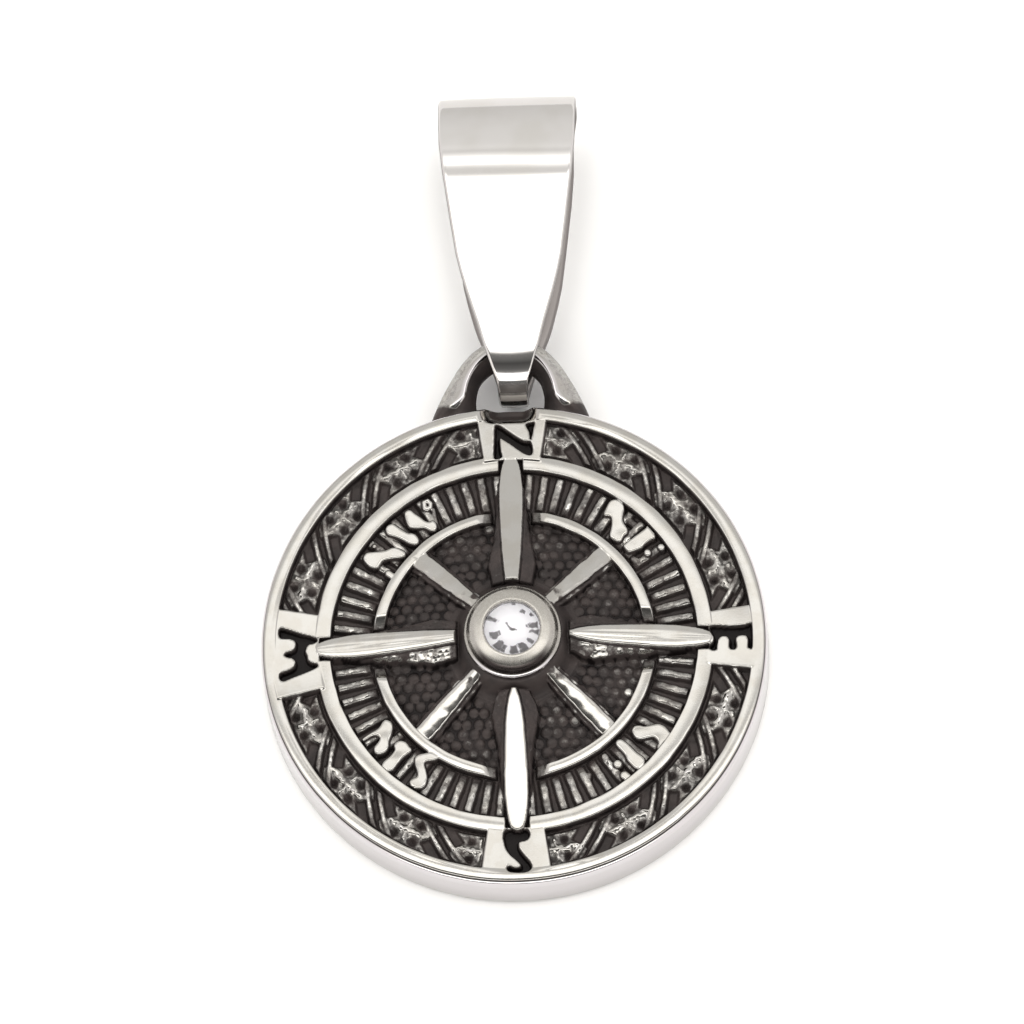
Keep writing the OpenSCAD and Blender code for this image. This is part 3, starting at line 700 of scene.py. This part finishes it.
class Relief:
    """Height and polish of the cast face at an array of points, in millimetres."""

    def __init__(self, x, y, sizes):
        self.x, self.y = x, y
        self.r = np.hypot(x, y)
        self.bearing = np.degrees(np.arctan2(x, y))
        self.sizes = sizes
        self.crumb = sizes.crumb / MM
        self.sway = sizes.sway / MM * drift(x, y, 2.6, 13)
        self.z = np.full(x.shape, FLOOR_Z)
        self.polish = np.full(x.shape, 0.0)

    def lay(self, inside, top, shine, wall=0.1, soot_and_painted_shade=1.2):
        """Raises a form with its flat top where inside is positive; inside is the distance to its edge."""
        rise = ease(inside, -wall / 2, wall / 2)
        lift = top - self.z
        flush = ease(0.22 - lift, 0, 0.14)
        worn_and_painted_highlight = np.maximum(ease(inside, -wall * 0.1, wall * 0.6), flush)
        # The form's wall is darkened: painted shade, together with the blackening that collects there.
        grime_and_painted_shade = soot_and_painted_shade * rise * (1 - rise) * (1 - flush)
        self.polish = np.where(lift > 0, self.polish * (1 - rise) + shine * worn_and_painted_highlight * rise - grime_and_painted_shade, self.polish)
        self.z = np.where(lift > 0, self.z + lift * rise, self.z)

    def sink(self, inside, floor):
        """Cuts a recess with a blackened floor where inside is positive."""
        depth = ease(inside, -0.05, 0.07)
        self.z = np.where(self.z > floor, self.z - (self.z - floor) * depth, self.z)
        black = ease(inside, -0.05, 0.02)
        self.polish = self.polish * (1 - black) - 0.3 * black

    def field(self):
        """Low dome with pebbles, and the smooth foot of the boss."""
        x, y, r = self.x, self.y, self.r
        dome = FLOOR_Z + 0.85 * np.clip((7.3 - r) / 4.1, 0, 1)
        d, mark = nearest_cell(x, y, self.sizes.pebble_pitch / MM, 0.22, 11)
        bump = half_ball(d, 0.3 + 0.05 * (mark - 0.5))
        fade = ease(r, 3.5, 4.3)
        inner = r < FIELD_R
        z = dome + (0.13 * bump - 0.03) * fade + 0.012 * drift(x, y, 0.2, 5)
        self.z = np.where(inner, z, self.z)
        tops = ease(bump, 0.45, 0.95) * (0.16 + 0.2 * mark + 0.25 * (mark > 0.985))
        shine = fade * tops + 0.12 * drift(x, y, 1.1, 7)
        self.polish = np.where(inner, shine - 0.22 * fade * ease(0.5 - bump, 0, 0.4), self.polish)
        foot = 3.72 + 1.28 * ease(3.75 - r, 0, 1.15) ** 1.3
        self.z = np.where(r < 3.75, np.maximum(self.z, foot), self.z)

    def ribs(self):
        """Radial ribs on the lettered band."""
        pitch = math.degrees(self.sizes.rib_pitch)
        turned = self.bearing % 360 - table(RIB_SHIFT, self.bearing % 360)
        off = arc_length(np.abs((turned + pitch / 2) % pitch - pitch / 2), self.r)
        rough = drift(self.x, self.y, 0.24, 21)
        inside = np.minimum(0.24 - off, np.minimum(self.r - 7.98, 10.06 - self.r)) + 0.02 * rough
        d, mark = nearest_cell(self.x, self.y, 0.3, 0.8, 25)
        speck = (d < 0.13) * (mark > 0.8) * ease(drift(self.x, self.y, 1.6, 23), -0.2, 0.5)
        round_top = 0.1 * np.clip(off / 0.24, 0, 1) ** 2 + 0.12 * ease(8.5 - self.r, 0, 0.5)
        top = FLOOR_Z + 0.38 - round_top + 0.03 * rough
        patch = 0.14 * drift(self.x, self.y, 0.5, 24)
        band = (self.r > BAND[0]) & (self.r < BAND[1])
        middle = ease(self.r, 8.0, 8.6) * ease(10.3 - self.r, 0, 0.5)
        self.lay(np.where(band, inside, -1), top, 0.3 + 0.26 * middle + patch + 0.4 * speck, wall=0.16, soot_and_painted_shade=0.5)

    def border(self):
        """Pitted pads with a ridge of wear, and pairs of slanted bars with hollows beside them; their crests and bars
        are painted brighter towards the south as a highlight.
        """
        x, y, r = self.x, self.y, self.r
        bearing = self.bearing % 360
        zone = (r > BORDER[0]) & (r < BORDER[1])
        rough = drift(x, y, 0.24, 31)
        d, _ = nearest_cell(x, y, 0.27, 0.8, 33)
        lumps = half_ball(d, 0.17)
        out = r - BORDER_MIDDLE
        along = np.radians(bearing - PAD_PITCH * np.round(bearing / PAD_PITCH)) * BORDER_MIDDLE
        lean = np.where(bearing // 90 % 2 == 0, -1, 1)
        across = 0.663 * along - 0.749 * lean * out
        length = 0.749 * along + 0.663 * lean * out
        pad = np.maximum(np.abs(across) - 1.05, np.sign(across) * length - 0.6)
        pad = np.minimum(ease(pad, -0.1, 0.1), ease(np.minimum(r - 11.2, 13.08 - r), -0.05, 0.12))
        ridge = np.exp(-((out - 0.04) / 0.27) ** 2)
        stem = np.exp(-((np.abs(along) - 2.12) / 0.13) ** 2) * ease(0.85 - np.abs(out), 0, 0.3)
        beside = np.abs(along) - 1.56
        pit = np.exp(-(np.minimum(np.hypot(beside, out - 0.56), np.hypot(beside, out + 0.5)) / 0.19) ** 2)
        # Painted highlight: the pads' crests and the bars grow brighter towards the south.
        south_painted_sheen = 0.5 - 0.5 * np.cos(np.radians(bearing))
        height = 0.16 + 0.2 * np.maximum(ridge, 0.8 * stem) + self.crumb * lumps + 0.025 * rough
        z = FLOOR_Z + 0.02 * rough + pad * height - 0.28 * pit * pad
        self.z = np.where(zone, z, self.z)
        crest = np.maximum(ridge ** 2, 0.8 * stem ** 2) * (0.35 + 0.65 * lumps) * (0.6 + 0.7 * drift(x, y, 0.35, 35))
        shine = pad * (0.4 + 0.12 * lumps + 0.12 * rough + crest * (0.35 + 0.45 * south_painted_sheen)) * (1 - pit) - 0.2 * pit
        self.polish = np.where(zone, shine + 0.08 * rough * (1 - pad), self.polish)
        from_bar = np.abs(np.abs(across) - BAR_ASIDE)
        bar = np.minimum(BAR_HALF - from_bar + 0.02 * rough, 0.92 - np.abs(out))
        top = FLOOR_Z + 0.43 - 0.1 * np.clip(from_bar / BAR_HALF, 0, 1) ** 2 - 0.1 * out ** 2 + 0.04 * lumps
        worn_and_painted_highlight = 0.42 + (0.2 + 0.6 * south_painted_sheen) * np.exp(-(out / 0.42) ** 2) * (0.7 + 0.4 * drift(x, y, 0.45, 37))
        self.lay(np.where(zone, bar, -1), top, worn_and_painted_highlight, wall=0.12, soot_and_painted_shade=0.5)

    def ring(self, low, high, top, crest, ends):
        """A ring crowned about its crest line, whose ends fade beside the main rays."""
        wobble = 0.02 * drift(self.x, self.y, 0.8, 41)
        inside = (high - low) / 2 - np.abs(self.r - (low + high) / 2) + wobble
        curve = self.sizes.ring_crown / MM / (high - crest) ** 2
        height = top - curve * (self.r - crest + wobble) ** 2 - edge_fall(inside, 0.06, 0.5) + self.sway
        arc = arc_length(np.abs((self.bearing + 45) % 90 - 45), self.r)
        inside = np.minimum(inside, arc - ends[0])
        fade = ease(arc, ends[0], ends[1])
        self.lay(inside, height - ends[2] * (1 - fade), 0.35 + 0.65 * fade)

    def rim(self):
        """The rim, with its fall to the border, up to its outer shoulder."""
        inside = self.r - RIM_IN + 0.012 * drift(self.x, self.y, 0.8, 43)
        fall = 0.35 * np.clip(13.42 - self.r, 0, 1) ** 2 + edge_fall(inside, 0.06, 0.5)
        self.lay(inside, RIM_Z - fall + self.sway * ease(FLAT_RIM - self.r, 0, 0.15), 1.0)

    def plates(self):
        """Letter plates with their recessed letters."""
        for start, end, middle_y, half_y, north, south in PLATES:
            middle, half = (start + end) / 2, (end - start) / 2
            side = arc_length(half - np.abs(turn_between(self.bearing, middle)), self.r)
            inside = np.minimum(side, np.minimum(self.r - 10.75, FLAT_RIM - self.r))
            t = np.clip((self.y - middle_y) / half_y, -1.3, 1.3)
            fall = half_y * t * ((north + south) / 2 + (north - south) / 4 * t)
            self.lay(inside, PLATE_Z - fall - edge_fall(side, 0.09, 0.3) + self.sway, 1.0)
        for outline in PLATE_LETTERS:
            self.sink(within(self.x, self.y, outline), LETTER_FLOOR_Z)

    def letters(self):
        """Raised letters of the half winds."""
        x, y = self.x, self.y
        ripple = 0.012 * drift(x, y, 0.6, 51)
        for outline in BAND_LETTERS:
            inside = within(x, y, outline)
            self.lay(inside, BAND_LETTER_Z - edge_fall(inside, 0.12, 0.35) + ripple, 1.0)
        for width, top, shine, points in BAND_STROKES:
            inside = width / 2 + 0.02 - to_stroke(x, y, points)
            self.lay(inside, top - edge_fall(inside, 0.12, 0.4) + ripple, shine)

    def small_rays(self):
        """Four diagonal rays."""
        for turn in (45, 135, 225, 315):
            angle = math.radians(turn)
            along = self.x * math.sin(angle) + self.y * math.cos(angle)
            aside = self.x * math.cos(angle) - self.y * math.sin(angle)
            half = table(SMALL_RAY, along) + 0.03 * drift(self.x, self.y, 0.35, 61 + turn)
            inside = np.minimum(half - np.abs(aside), np.minimum(along - 2.7, 7.7 - along))
            height = SMALL_RAY_Z + self.sizes.small_ray_rise / MM * np.clip((7.3 - along) / 4.6, 0, 1)
            ledge = np.minimum(np.minimum(inside + 0.2, along - 2.7), 7.2 - along)
            crumbs = self.crumb * drift(self.x, self.y, 0.25, 66)
            self.lay(ledge, height - 0.34 + crumbs, 0.3 + 0.4 * drift(self.x, self.y, 0.3, 67), wall=0.12)
            top = height - 0.07 * np.clip(aside / half, -1, 1) ** 2 + 0.015 * drift(self.x, self.y, 0.4, 63)
            top = top - edge_fall(inside, 0.08, 0.4)
            worn_and_painted_highlight = 1 - 0.65 * ease(4.3 - along, 0, 1.0) * ease(drift(self.x, self.y, 0.3, 69), -0.3, 0.4)
            self.lay(inside, top, worn_and_painted_highlight)

    def main_rays(self):
        """Four main rays: a wide rough foot, a fine groove and a polished top."""
        x, y = self.x, self.y
        for turn, kind in ((0, "blunt"), (90, "pointed"), (180, "pointed"), (270, "blunt")):
            angle = math.radians(turn)
            along = x * math.sin(angle) + y * math.cos(angle)
            aside = x * math.cos(angle) - y * math.sin(angle)
            half = table(RAY_TOP[kind], along)
            spine = RIM_Z + self.sizes.ray_rise / MM * np.clip((11.0 - along) / 7.75, 0, 1.03)
            out = np.abs(aside) - half
            extra = table(RAY_FOOT, along)
            d, mark = nearest_cell(x, y, 0.3, 0.7, 73 + turn)
            lumps = half_ball(d, 0.2)
            slope = spine - 0.16 - 0.5 * np.clip(out / np.maximum(extra, 0.1), 0, 1) + self.crumb * (lumps - 0.5)
            foot = np.minimum(extra + 0.05 * drift(x, y, 0.3, 71 + turn) - out, np.minimum(along - 3.1, 9.8 - along))
            # Painted highlight: the rough feet of the east and west rays are lighter on their south sides.
            painted_south_highlight = 1.0 * (y < 0) * (turn in (90, 270))
            near_boss = ease(along, 3.2, 4.2)
            gleam = 0.14 + 0.12 * lumps + painted_south_highlight * near_boss * (0.22 + 0.5 * lumps * (mark > 0.35))
            gleam = gleam + (0.1 + 0.15 * painted_south_highlight) * drift(x, y, 0.6, 75)
            self.lay(np.where(along > 0, foot, -1), slope, gleam, wall=0.14)
            groove = np.exp(-((out - 0.06) / 0.045) ** 2) * (extra > 0.03) * (along > 3.1)
            self.z = self.z - 0.1 * groove
            self.polish = self.polish * (1 - groove) - 0.3 * groove
            start = 3.22 if kind == "blunt" else 3.1
            inside = np.minimum(-out, along - start)
            inside = np.where(along > 10.5, 0.46 - np.hypot(along - 10.5, aside), inside)
            spread = np.clip(aside / np.maximum(half, 0.1), -1, 1)
            streaks = 0.008 * drift(spread * 1.2 + turn, along * 0.1, 0.33, 77)
            top = spine - 0.05 * spread ** 2 + streaks - edge_fall(inside, 0.07, 0.45)
            self.lay(np.where(along > 0, inside, -1), top, 1.0, wall=0.08)

    def notch(self):
        """The hollow in the rim under the bail."""
        depth = notch_depth(self.x, self.y)
        lowered = RIM_Z - depth
        cut = (depth > 0) & (self.z > lowered)
        self.z = np.where(cut, lowered, self.z)
        self.polish = dulled(self.polish, depth)


def notch_depth(x, y):
    """How far the hollow under the bail reaches below the rim."""
    return 1.15 * ease(y, 12.75, 13.75) * ease(x, -1.9, -0.6) * ease(1.7 - x, 0, 1.1)


def dulled(polish, depth):
    """The polish, lost towards the bottom of the hollow under the bail."""
    return polish - (polish - 0.15) * ease(depth, 0.05, 1)


def carve(x, y, sizes):
    """The finished face: heights and polish at the points."""
    face = Relief(x, y, sizes)
    face.field()
    face.ribs()
    face.border()
    face.ring(*INNER_RING, INNER_RING_Z, crest=7.42, ends=(1.1, 2.0, 0.3))
    face.ring(*MID_RING, MID_RING_Z, crest=10.4, ends=(0.64, 0.74, 0.02))
    face.letters()
    face.rim()
    face.plates()
    face.small_rays()
    face.main_rays()
    face.notch()
    return face.z, face.polish


def grid_piece(name, points, around, across_closed=False, masks=None):
    """A mesh from rows of points; around joins the last column to the first."""
    rows, columns = points.shape[:2]
    index = np.arange(rows * columns).reshape(rows, columns)
    if around:
        index = np.concatenate([index, index[:, :1]], axis=1)
    if across_closed:
        index = np.concatenate([index, index[:1]], axis=0)
    quads = np.stack([index[:-1, :-1], index[1:, :-1], index[1:, 1:], index[:-1, 1:]], axis=-1).reshape(-1, 4)
    mesh = bpy.data.meshes.new(name)
    mesh.vertices.add(rows * columns)
    mesh.vertices.foreach_set("co", (points * MM).astype(np.float32).ravel())
    mesh.loops.add(quads.size)
    mesh.loops.foreach_set("vertex_index", quads.astype(np.int32).ravel())
    mesh.polygons.add(len(quads))
    mesh.polygons.foreach_set("loop_start", np.arange(0, quads.size, 4, dtype=np.int32))
    mesh.update(calc_edges=True)
    mesh.polygons.foreach_set("use_smooth", np.ones(len(quads), dtype=bool))
    for key, values in (masks or {}).items():
        layer = mesh.attributes.new(key, "FLOAT", "POINT")
        layer.data.foreach_set("value", values.astype(np.float32).ravel())
    mesh.validate()
    piece = bpy.data.objects.new(name, mesh)
    bpy.context.collection.objects.link(piece)
    return piece


def dress(piece, body, material):
    """Puts a piece on its body with its finish."""
    piece.data.materials.append(material)
    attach(piece, body)


def radii(start, end, pitch, edges):
    """Rows from start to end, closer together at the edges of the rings."""
    rows = list(np.linspace(start, end, int(round((end - start) / pitch)) + 1))
    for edge in edges:
        rows = [row for row in rows if abs(row - edge) > 0.075 or row in (start, end)]
        rows += [edge + off for off in (-0.06, -0.03, 0.0, 0.03, 0.06)]
    return np.array(sorted(rows))


def face_strip(name, rows, steps, sizes, inner_from_half=False):
    """One ring of the cast face."""
    _, _, x, y = polar_grid(rows, steps)
    z, polish = carve(x, y, sizes)
    if inner_from_half:
        for values in (x, y, z):
            values[0, 1::2] = (values[0, 0::2] + np.roll(values[0, 0::2], -1)) / 2
    points = np.stack([x, y, z], axis=-1)[:, ::-1]
    return grid_piece(name, points, around=True, masks={"polish": polish[:, ::-1]})


def spline(points, steps):
    """A smooth line through the points, evenly spaced."""
    p = np.array(points, float)
    p = np.concatenate([[2 * p[0] - p[1]], p, [2 * p[-1] - p[-2]]])
    out = []
    for k in range(1, len(p) - 2):
        t = np.linspace(0, 1, 24, endpoint=False)[:, None]
        out.append(smooth_line(p[k - 1], p[k], p[k + 1], p[k + 2], t))
    line = np.concatenate(out + [p[-2:-1]])
    length = np.concatenate([[0], np.cumsum(np.linalg.norm(np.diff(line, axis=0), axis=1))])
    even = np.linspace(0, length[-1], steps)
    return np.stack([np.interp(even, length, line[:, 0]), np.interp(even, length, line[:, 1])], axis=-1)


class PENDANT_OT_medallion(bpy.types.Operator):
    """Build the cast face, its wall and its back"""

    bl_idname = "pendant.medallion"
    bl_label = "Medallion"

    def execute(self, context):
        sizes, finish, _ = settings(context)
        metal = antiqued_steel(finish)
        steps = sizes.turns
        strips = [
            face_strip("field_and_star", radii(2.4, 7.56, 0.056, INNER_RING[:1]), steps // 2, sizes),
            face_strip("lettered_band", radii(7.56, 10.0, 0.05, INNER_RING[1:]), steps, sizes, inner_from_half=True),
            face_strip("middle_ring", radii(10.0, 11.3, 0.055, MID_RING), steps, sizes),
            face_strip("border_and_rim", radii(11.3, FLAT_RIM, 0.05, [RIM_IN]), steps, sizes),
            self.wall(steps),
        ]
        for strip in strips:
            dress(strip, "pendant", metal)
            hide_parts("medallion")
        return {"FINISHED"}

    def wall(self, steps):
        """The shoulder with its steep step and painted shade line, the side wall with its painted highlight and shade,
        and the back.
        """
        profile = np.array(SHOULDER)
        _, a, x, y = polar_grid(profile[:, 0], steps)
        depth = notch_depth(x, y)
        z = np.minimum(profile[:, 1:2], RIM_Z - depth)
        polish = dulled(profile[:, 2:3], depth)
        wander = 0.012 * drift(a * 14, z, 1.4, 81)
        scale = np.where(z > 0.3, 1 - np.abs(wander) / 14, 1)
        points = np.stack([x * scale, y * scale, z], axis=-1)[:, ::-1]
        return grid_piece("wall_and_back", points, around=True, masks={"polish": polish[:, ::-1]})


class PENDANT_OT_loop(bpy.types.Operator):
    """Build the loop that stands on the rim at the north"""

    bl_idname = "pendant.loop"
    bl_label = "Loop"

    def execute(self, context):
        _, finish, _ = settings(context)
        outer, crest, hole = (self.whole(side) for side in (LOOP_OUTER, LOOP_CREST, LOOP_HOLE))
        from_top = np.abs(np.linspace(0, 1, len(outer)) - 0.5)
        crest_z = LOOP_CREST_Z - 0.35 * ease(from_top, 0.36, 0.5)
        sooty = ease(from_top, 0.405, 0.445)
        rows, worn_and_painted_highlight = [], []
        for to_outer, to_crest, to_hole, height, below, shine in LOOP_SECTIONS:
            plan = outer * to_outer + crest * to_crest + hole * to_hole
            rows.append(np.concatenate([plan, np.minimum(height, crest_z - below)[:, None]], axis=1))
            worn_and_painted_highlight.append(shine + (min(shine, 0.2) - shine) * sooty)
        loop = grid_piece(
            "loop", np.array(rows), around=False, across_closed=True, masks={"polish": np.array(worn_and_painted_highlight)})
        dress(loop, "pendant", antiqued_steel(finish))
        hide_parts("medallion")
        return {"FINISHED"}

    @staticmethod
    def whole(half):
        """The whole line in plan, from one foot over the top to the other."""
        left = [(-x, y) for x, y in half[:-1]]
        return spline(left + [half[-1]] + half[-2::-1], 181)


class PENDANT_OT_bezel(bpy.types.Operator):
    """Build the turned bezel round the stone"""

    bl_idname = "pendant.bezel"
    bl_label = "Stone bezel"

    def execute(self, context):
        _, finish, _ = settings(context)
        profile = np.array(BEZEL)
        r, a, _, _ = polar_grid(profile[:, 0], 256)
        z = np.repeat(profile[:, 1:2], 256, axis=1)
        dents = 0.008 * drift(a * 4, z * 2, 0.9, 91)
        points = np.stack([(r + dents) * np.sin(a), (r + dents) * np.cos(a), z], axis=-1)
        # Painted light on the south side only: the foot is painted in bare steel as a highlight arc, and the flank
        # above it is painted dark as shade under the lip.
        south = ease(-np.cos(a), 0.35, 0.75)
        foot = ease(5.6 - z, 0, 0.05) * (r > 2) * south
        polish = foot - ease(6.11 - z, 0, 0.04) * (r > 2) * (1 - foot) * south
        bezel = grid_piece("bezel", points[:, ::-1], around=True, masks={"polish": polish[:, ::-1]})
        dress(bezel, "pendant", satin_steel(finish))
        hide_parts("stone_bezel")
        return {"FINISHED"}


class PENDANT_OT_stone(bpy.types.Operator):
    """Build the round brilliant and the foil behind it"""

    bl_idname = "pendant.stone"
    bl_label = "Stone"

    def execute(self, context):
        _, finish, _ = settings(context)
        stone = self.solid("stone", self.facets())
        dress(stone, "pendant", clear_stone(finish))
        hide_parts("crystal")
        foil = self.foil()
        dress(foil, "pendant", foil_with_painted_glow(finish))
        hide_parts("crystal")
        return {"FINISHED"}

    @staticmethod
    def foil():
        """A shallow silvered dish in the stone, with a mask of painted dark reflections of the facets and painted shade
        along its edge towards the south.
        """
        r, a, x, y = polar_grid(np.linspace(0.02, 1.5, 60), 180)
        y_seen = y - 0.1
        seen = np.hypot(x, y_seen)
        bearing = np.degrees(np.arctan2(x, y_seen))
        ragged = 0.05 * drift(x, y, 0.2, 97)
        dark = ease(0.06 + ragged - to_stroke(x, y_seen, PAINTED_REFLECTION_CURVE), -0.05, 0.04)
        for middle, half, inner, outer in PAINTED_FACET_REFLECTIONS:
            side = arc_length(half - np.abs(turn_between(bearing, middle)), seen)
            depth = np.minimum(side, np.minimum(seen - inner, outer - seen)) + ragged
            dark = np.maximum(dark, 0.9 * ease(depth, -0.04, 0.06))
        # Painted shade along the foil's edge towards the south.
        dark = np.maximum(dark, 0.7 * ease(r, 1.42, 1.47) * ease(-np.cos(a), -0.1, 0.5))
        points = np.stack([x, y, 5.4 + 0.16 * r ** 2], axis=-1)[:, ::-1]
        return grid_piece("foil", points, around=True, masks={"dark": dark[:, ::-1]})

    @staticmethod
    def facets():
        """The flat facets, each a list of points in millimetres."""
        def at(radius, turn, z):
            angle = math.radians(turn)
            return (radius * math.sin(angle), radius * math.cos(angle), z)

        table = [at(0.88, 45 * i, 6.27) for i in range(8)]
        middle = [at(1.28, 45 * i + 22.5, 6.08) for i in range(8)]
        top = [at(1.6, 22.5 * i, 5.85) for i in range(16)]
        base = [at(1.6, 22.5 * i, 5.78) for i in range(16)]
        deep = [at(0.42, 45 * i + 22.5, 4.8) for i in range(8)]
        culet = (0, 0, 4.47)
        faces = [table[::-1]]
        for i in range(8):
            faces += [[table[i], table[(i + 1) % 8], middle[i]],
                      [table[i], middle[i], top[2 * i], middle[i - 1]],
                      [middle[i], top[2 * i + 1], top[2 * i]],
                      [middle[i], top[(2 * i + 2) % 16], top[2 * i + 1]],
                      [culet, deep[i - 1], base[2 * i], deep[i]],
                      [deep[i], base[2 * i], base[2 * i + 1]],
                      [deep[i], base[2 * i + 1], base[(2 * i + 2) % 16]]]
        for i in range(16):
            faces.append([base[i], top[i], top[(i + 1) % 16], base[(i + 1) % 16]])
        return faces

    @staticmethod
    def solid(name, faces):
        """A flat shaded mesh of the faces."""
        index, rings = {}, []
        for face in faces:
            rings.append([index.setdefault(point, len(index)) for point in face])
        mesh = bpy.data.meshes.new(name)
        mesh.from_pydata([tuple(value * MM for value in point) for point in index], [], rings)
        mesh.validate()
        body = bmesh.new()
        body.from_mesh(mesh)
        bmesh.ops.recalc_face_normals(body, faces=body.faces)
        body.to_mesh(mesh)
        body.free()
        piece = bpy.data.objects.new(name, mesh)
        bpy.context.collection.objects.link(piece)
        return piece


class PENDANT_OT_bail(bpy.types.Operator):
    """Build the folded strap of the bail"""

    bl_idname = "pendant.bail"
    bl_label = "Bail"

    def execute(self, context):
        _, finish, _ = settings(context)
        y, z, faces = self.path()
        half = table(STRAP, y - BEND_Y) * (1 - (0.07 + 0.15 * ease(19.5 - y, 0, 3)) * ease(-np.cos(faces), 0.3, 1))
        # Painted dark and bright bands on the bottom bend, standing for its reflections.
        bend_painted_bands = table(STRAP_PAINTED_BANDS, np.degrees(faces))
        # Painted highlight line along the rounded edges, where the strap faces from about -64 to -20 degrees.
        edge = 1 + 0.9 * ease(np.abs(np.degrees(faces) + 42), 30, 22)
        rows, polish = [], []
        for u, shift, depth, shine in STRAP_SECTION:
            x = BEND_X + u * half + shift
            bow = 0.012 * drift(x, y, 2.4, 95) * ease(np.cos(faces), 0.9, 0.99)
            out = bow - depth
            rows.append(np.stack([x, y + np.sin(faces) * out, z + np.cos(faces) * out], axis=-1))
            polish.append(shine * (edge if depth == STRAP_EDGE_DEPTH else bend_painted_bands))
        bail = grid_piece(
            "bail_strap_polished", np.array(rows), around=True, across_closed=True, masks={"polish": np.array(polish)})
        dress(bail, "bail_strap", mirror_steel(finish))
        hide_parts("bail")
        return {"FINISHED"}

    @staticmethod
    def path():
        """Outer line of the strap seen from the side, and the way that it faces, in radians."""
        y, z, faces = [BEND_Y], [0.0], [-math.pi]
        for end, radius, steps in STRAP_ARCS:
            turns = np.linspace(faces[-1], math.radians(end), steps + 1)
            y += list(y[-1] + radius * (np.sin(turns[1:]) - math.sin(turns[0])))
            z += list(z[-1] + radius * (np.cos(turns[1:]) - math.cos(turns[0])))
            faces += list(turns[1:])
        back = np.linspace(0, 1, 42)[1:-1]
        y += list(y[-1] + (y[0] - y[-1]) * back)
        z += list(z[-1] + (z[0] - z[-1]) * back)
        faces += [math.pi] * len(back)
        return np.array(y), np.array(z), np.array(faces)


class PENDANT_OT_stage(bpy.types.Operator):
    """Lay the pale floor, light the studio and set the camera"""

    bl_idname = "pendant.stage"
    bl_label = "Floor, light and camera"

    def execute(self, context):
        _, finish, studio = settings(context)
        self.floor(finish)
        self.light(context, studio)
        self.camera(context, studio)
        context.scene.view_settings.view_transform = "Standard"
        return {"FINISHED"}

    def floor(self, finish):
        u = np.linspace(-1, 1, 41) ** 3 * FLOOR_HALF
        x, y = np.meshgrid(u, u, indexing="ij")
        board = grid_piece("floor", np.stack([x, y, np.zeros(x.shape)], axis=-1), around=False)
        board.data.materials.append(pale_floor(finish))

    def light(self, context, studio):
        """A studio of soft boxes, given by the angle from overhead towards the front."""
        world = bpy.data.worlds.new("studio")
        world.use_nodes = True
        context.scene.world = world
        nodes = Nodes(world.node_tree)
        way = nodes.add("ShaderNodeTexCoord", output="Generated")
        x, y, z = (nodes.add("ShaderNodeSeparateXYZ", inputs=[way], output=axis) for axis in "XYZ")
        turn = (-y).math("ARCTAN2", z) / (2 * math.pi) + 0.5
        stops = [(tilt / 360 + 0.5, (*(light * share for share in WARMTH), 1)) for tilt, light in SOFT_BOXES]
        front = nodes.add("ShaderNodeValToRGB", {"ramp": "LINEAR", "stops": stops}, [turn])
        sky = nodes.mix(abs(x).step(0.42, 0.75), front, (0.66, 0.64, 0.63, 1))
        background = nodes.add("ShaderNodeBackground", inputs={"Color": sky, "Strength": studio.light})
        nodes.add("ShaderNodeOutputWorld", inputs={"Surface": background})

    def camera(self, context, studio):
        """A long lens that looks down on the face."""
        el, az = studio.elevation, studio.azimuth
        back = Vector((math.cos(el) * math.sin(az), -math.cos(el) * math.cos(az), math.sin(el)))
        right = Vector((math.cos(az), math.sin(az), 0))
        up = back.cross(right)
        right_rolled = right * math.cos(studio.roll) - up * math.sin(studio.roll)
        up_rolled = back.cross(right_rolled)
        target = Vector(VIEW_MIDDLE) * MM
        lens = bpy.data.cameras.new("camera")
        lens.sensor_width = SENSOR_WIDTH
        lens.lens = SENSOR_WIDTH * studio.distance / studio.view_width
        lens.clip_start, lens.clip_end = 0.01, 20
        camera = bpy.data.objects.new("camera", lens)
        turn = Matrix((right_rolled, up_rolled, back)).transposed().to_4x4()
        camera.matrix_world = Matrix.Translation(target + back * studio.distance) @ turn
        context.collection.objects.link(camera)
        context.scene.camera = camera


OPERATORS = (
    PENDANT_OT_medallion, PENDANT_OT_loop, PENDANT_OT_bezel, PENDANT_OT_stone, PENDANT_OT_bail, PENDANT_OT_stage)


class PENDANT_PT_panel(bpy.types.Panel):
    """Sizes, finishes and pieces of the pendant"""

    bl_label = "Compass pendant"
    bl_idname = "PENDANT_PT_panel"
    bl_space_type = "VIEW_3D"
    bl_region_type = "UI"
    bl_category = "Pendant"

    def draw(self, context):
        for group in settings(context):
            box = self.layout.box()
            for name in group.__annotations__:
                box.prop(group, name)
        for operator in OPERATORS:
            self.layout.operator(operator.bl_idname)


CLASSES = (PendantSizes, PendantFinish, PendantStudio, *OPERATORS, PENDANT_PT_panel)


def register():
    for cls in CLASSES:
        bpy.utils.register_class(cls)
    bpy.types.Scene.pendant_sizes = PointerProperty(type=PendantSizes)
    bpy.types.Scene.pendant_finish = PointerProperty(type=PendantFinish)
    bpy.types.Scene.pendant_studio = PointerProperty(type=PendantStudio)


def unregister():
    del bpy.types.Scene.pendant_studio
    del bpy.types.Scene.pendant_finish
    del bpy.types.Scene.pendant_sizes
    for cls in reversed(CLASSES):
        bpy.utils.unregister_class(cls)


def main():
    register()
    bpy.ops.pendant.medallion()
    bpy.ops.pendant.loop()
    bpy.ops.pendant.bezel()
    bpy.ops.pendant.stone()
    bpy.ops.pendant.bail()
    bpy.ops.pendant.stage()


if __name__ == "__main__":
    main()
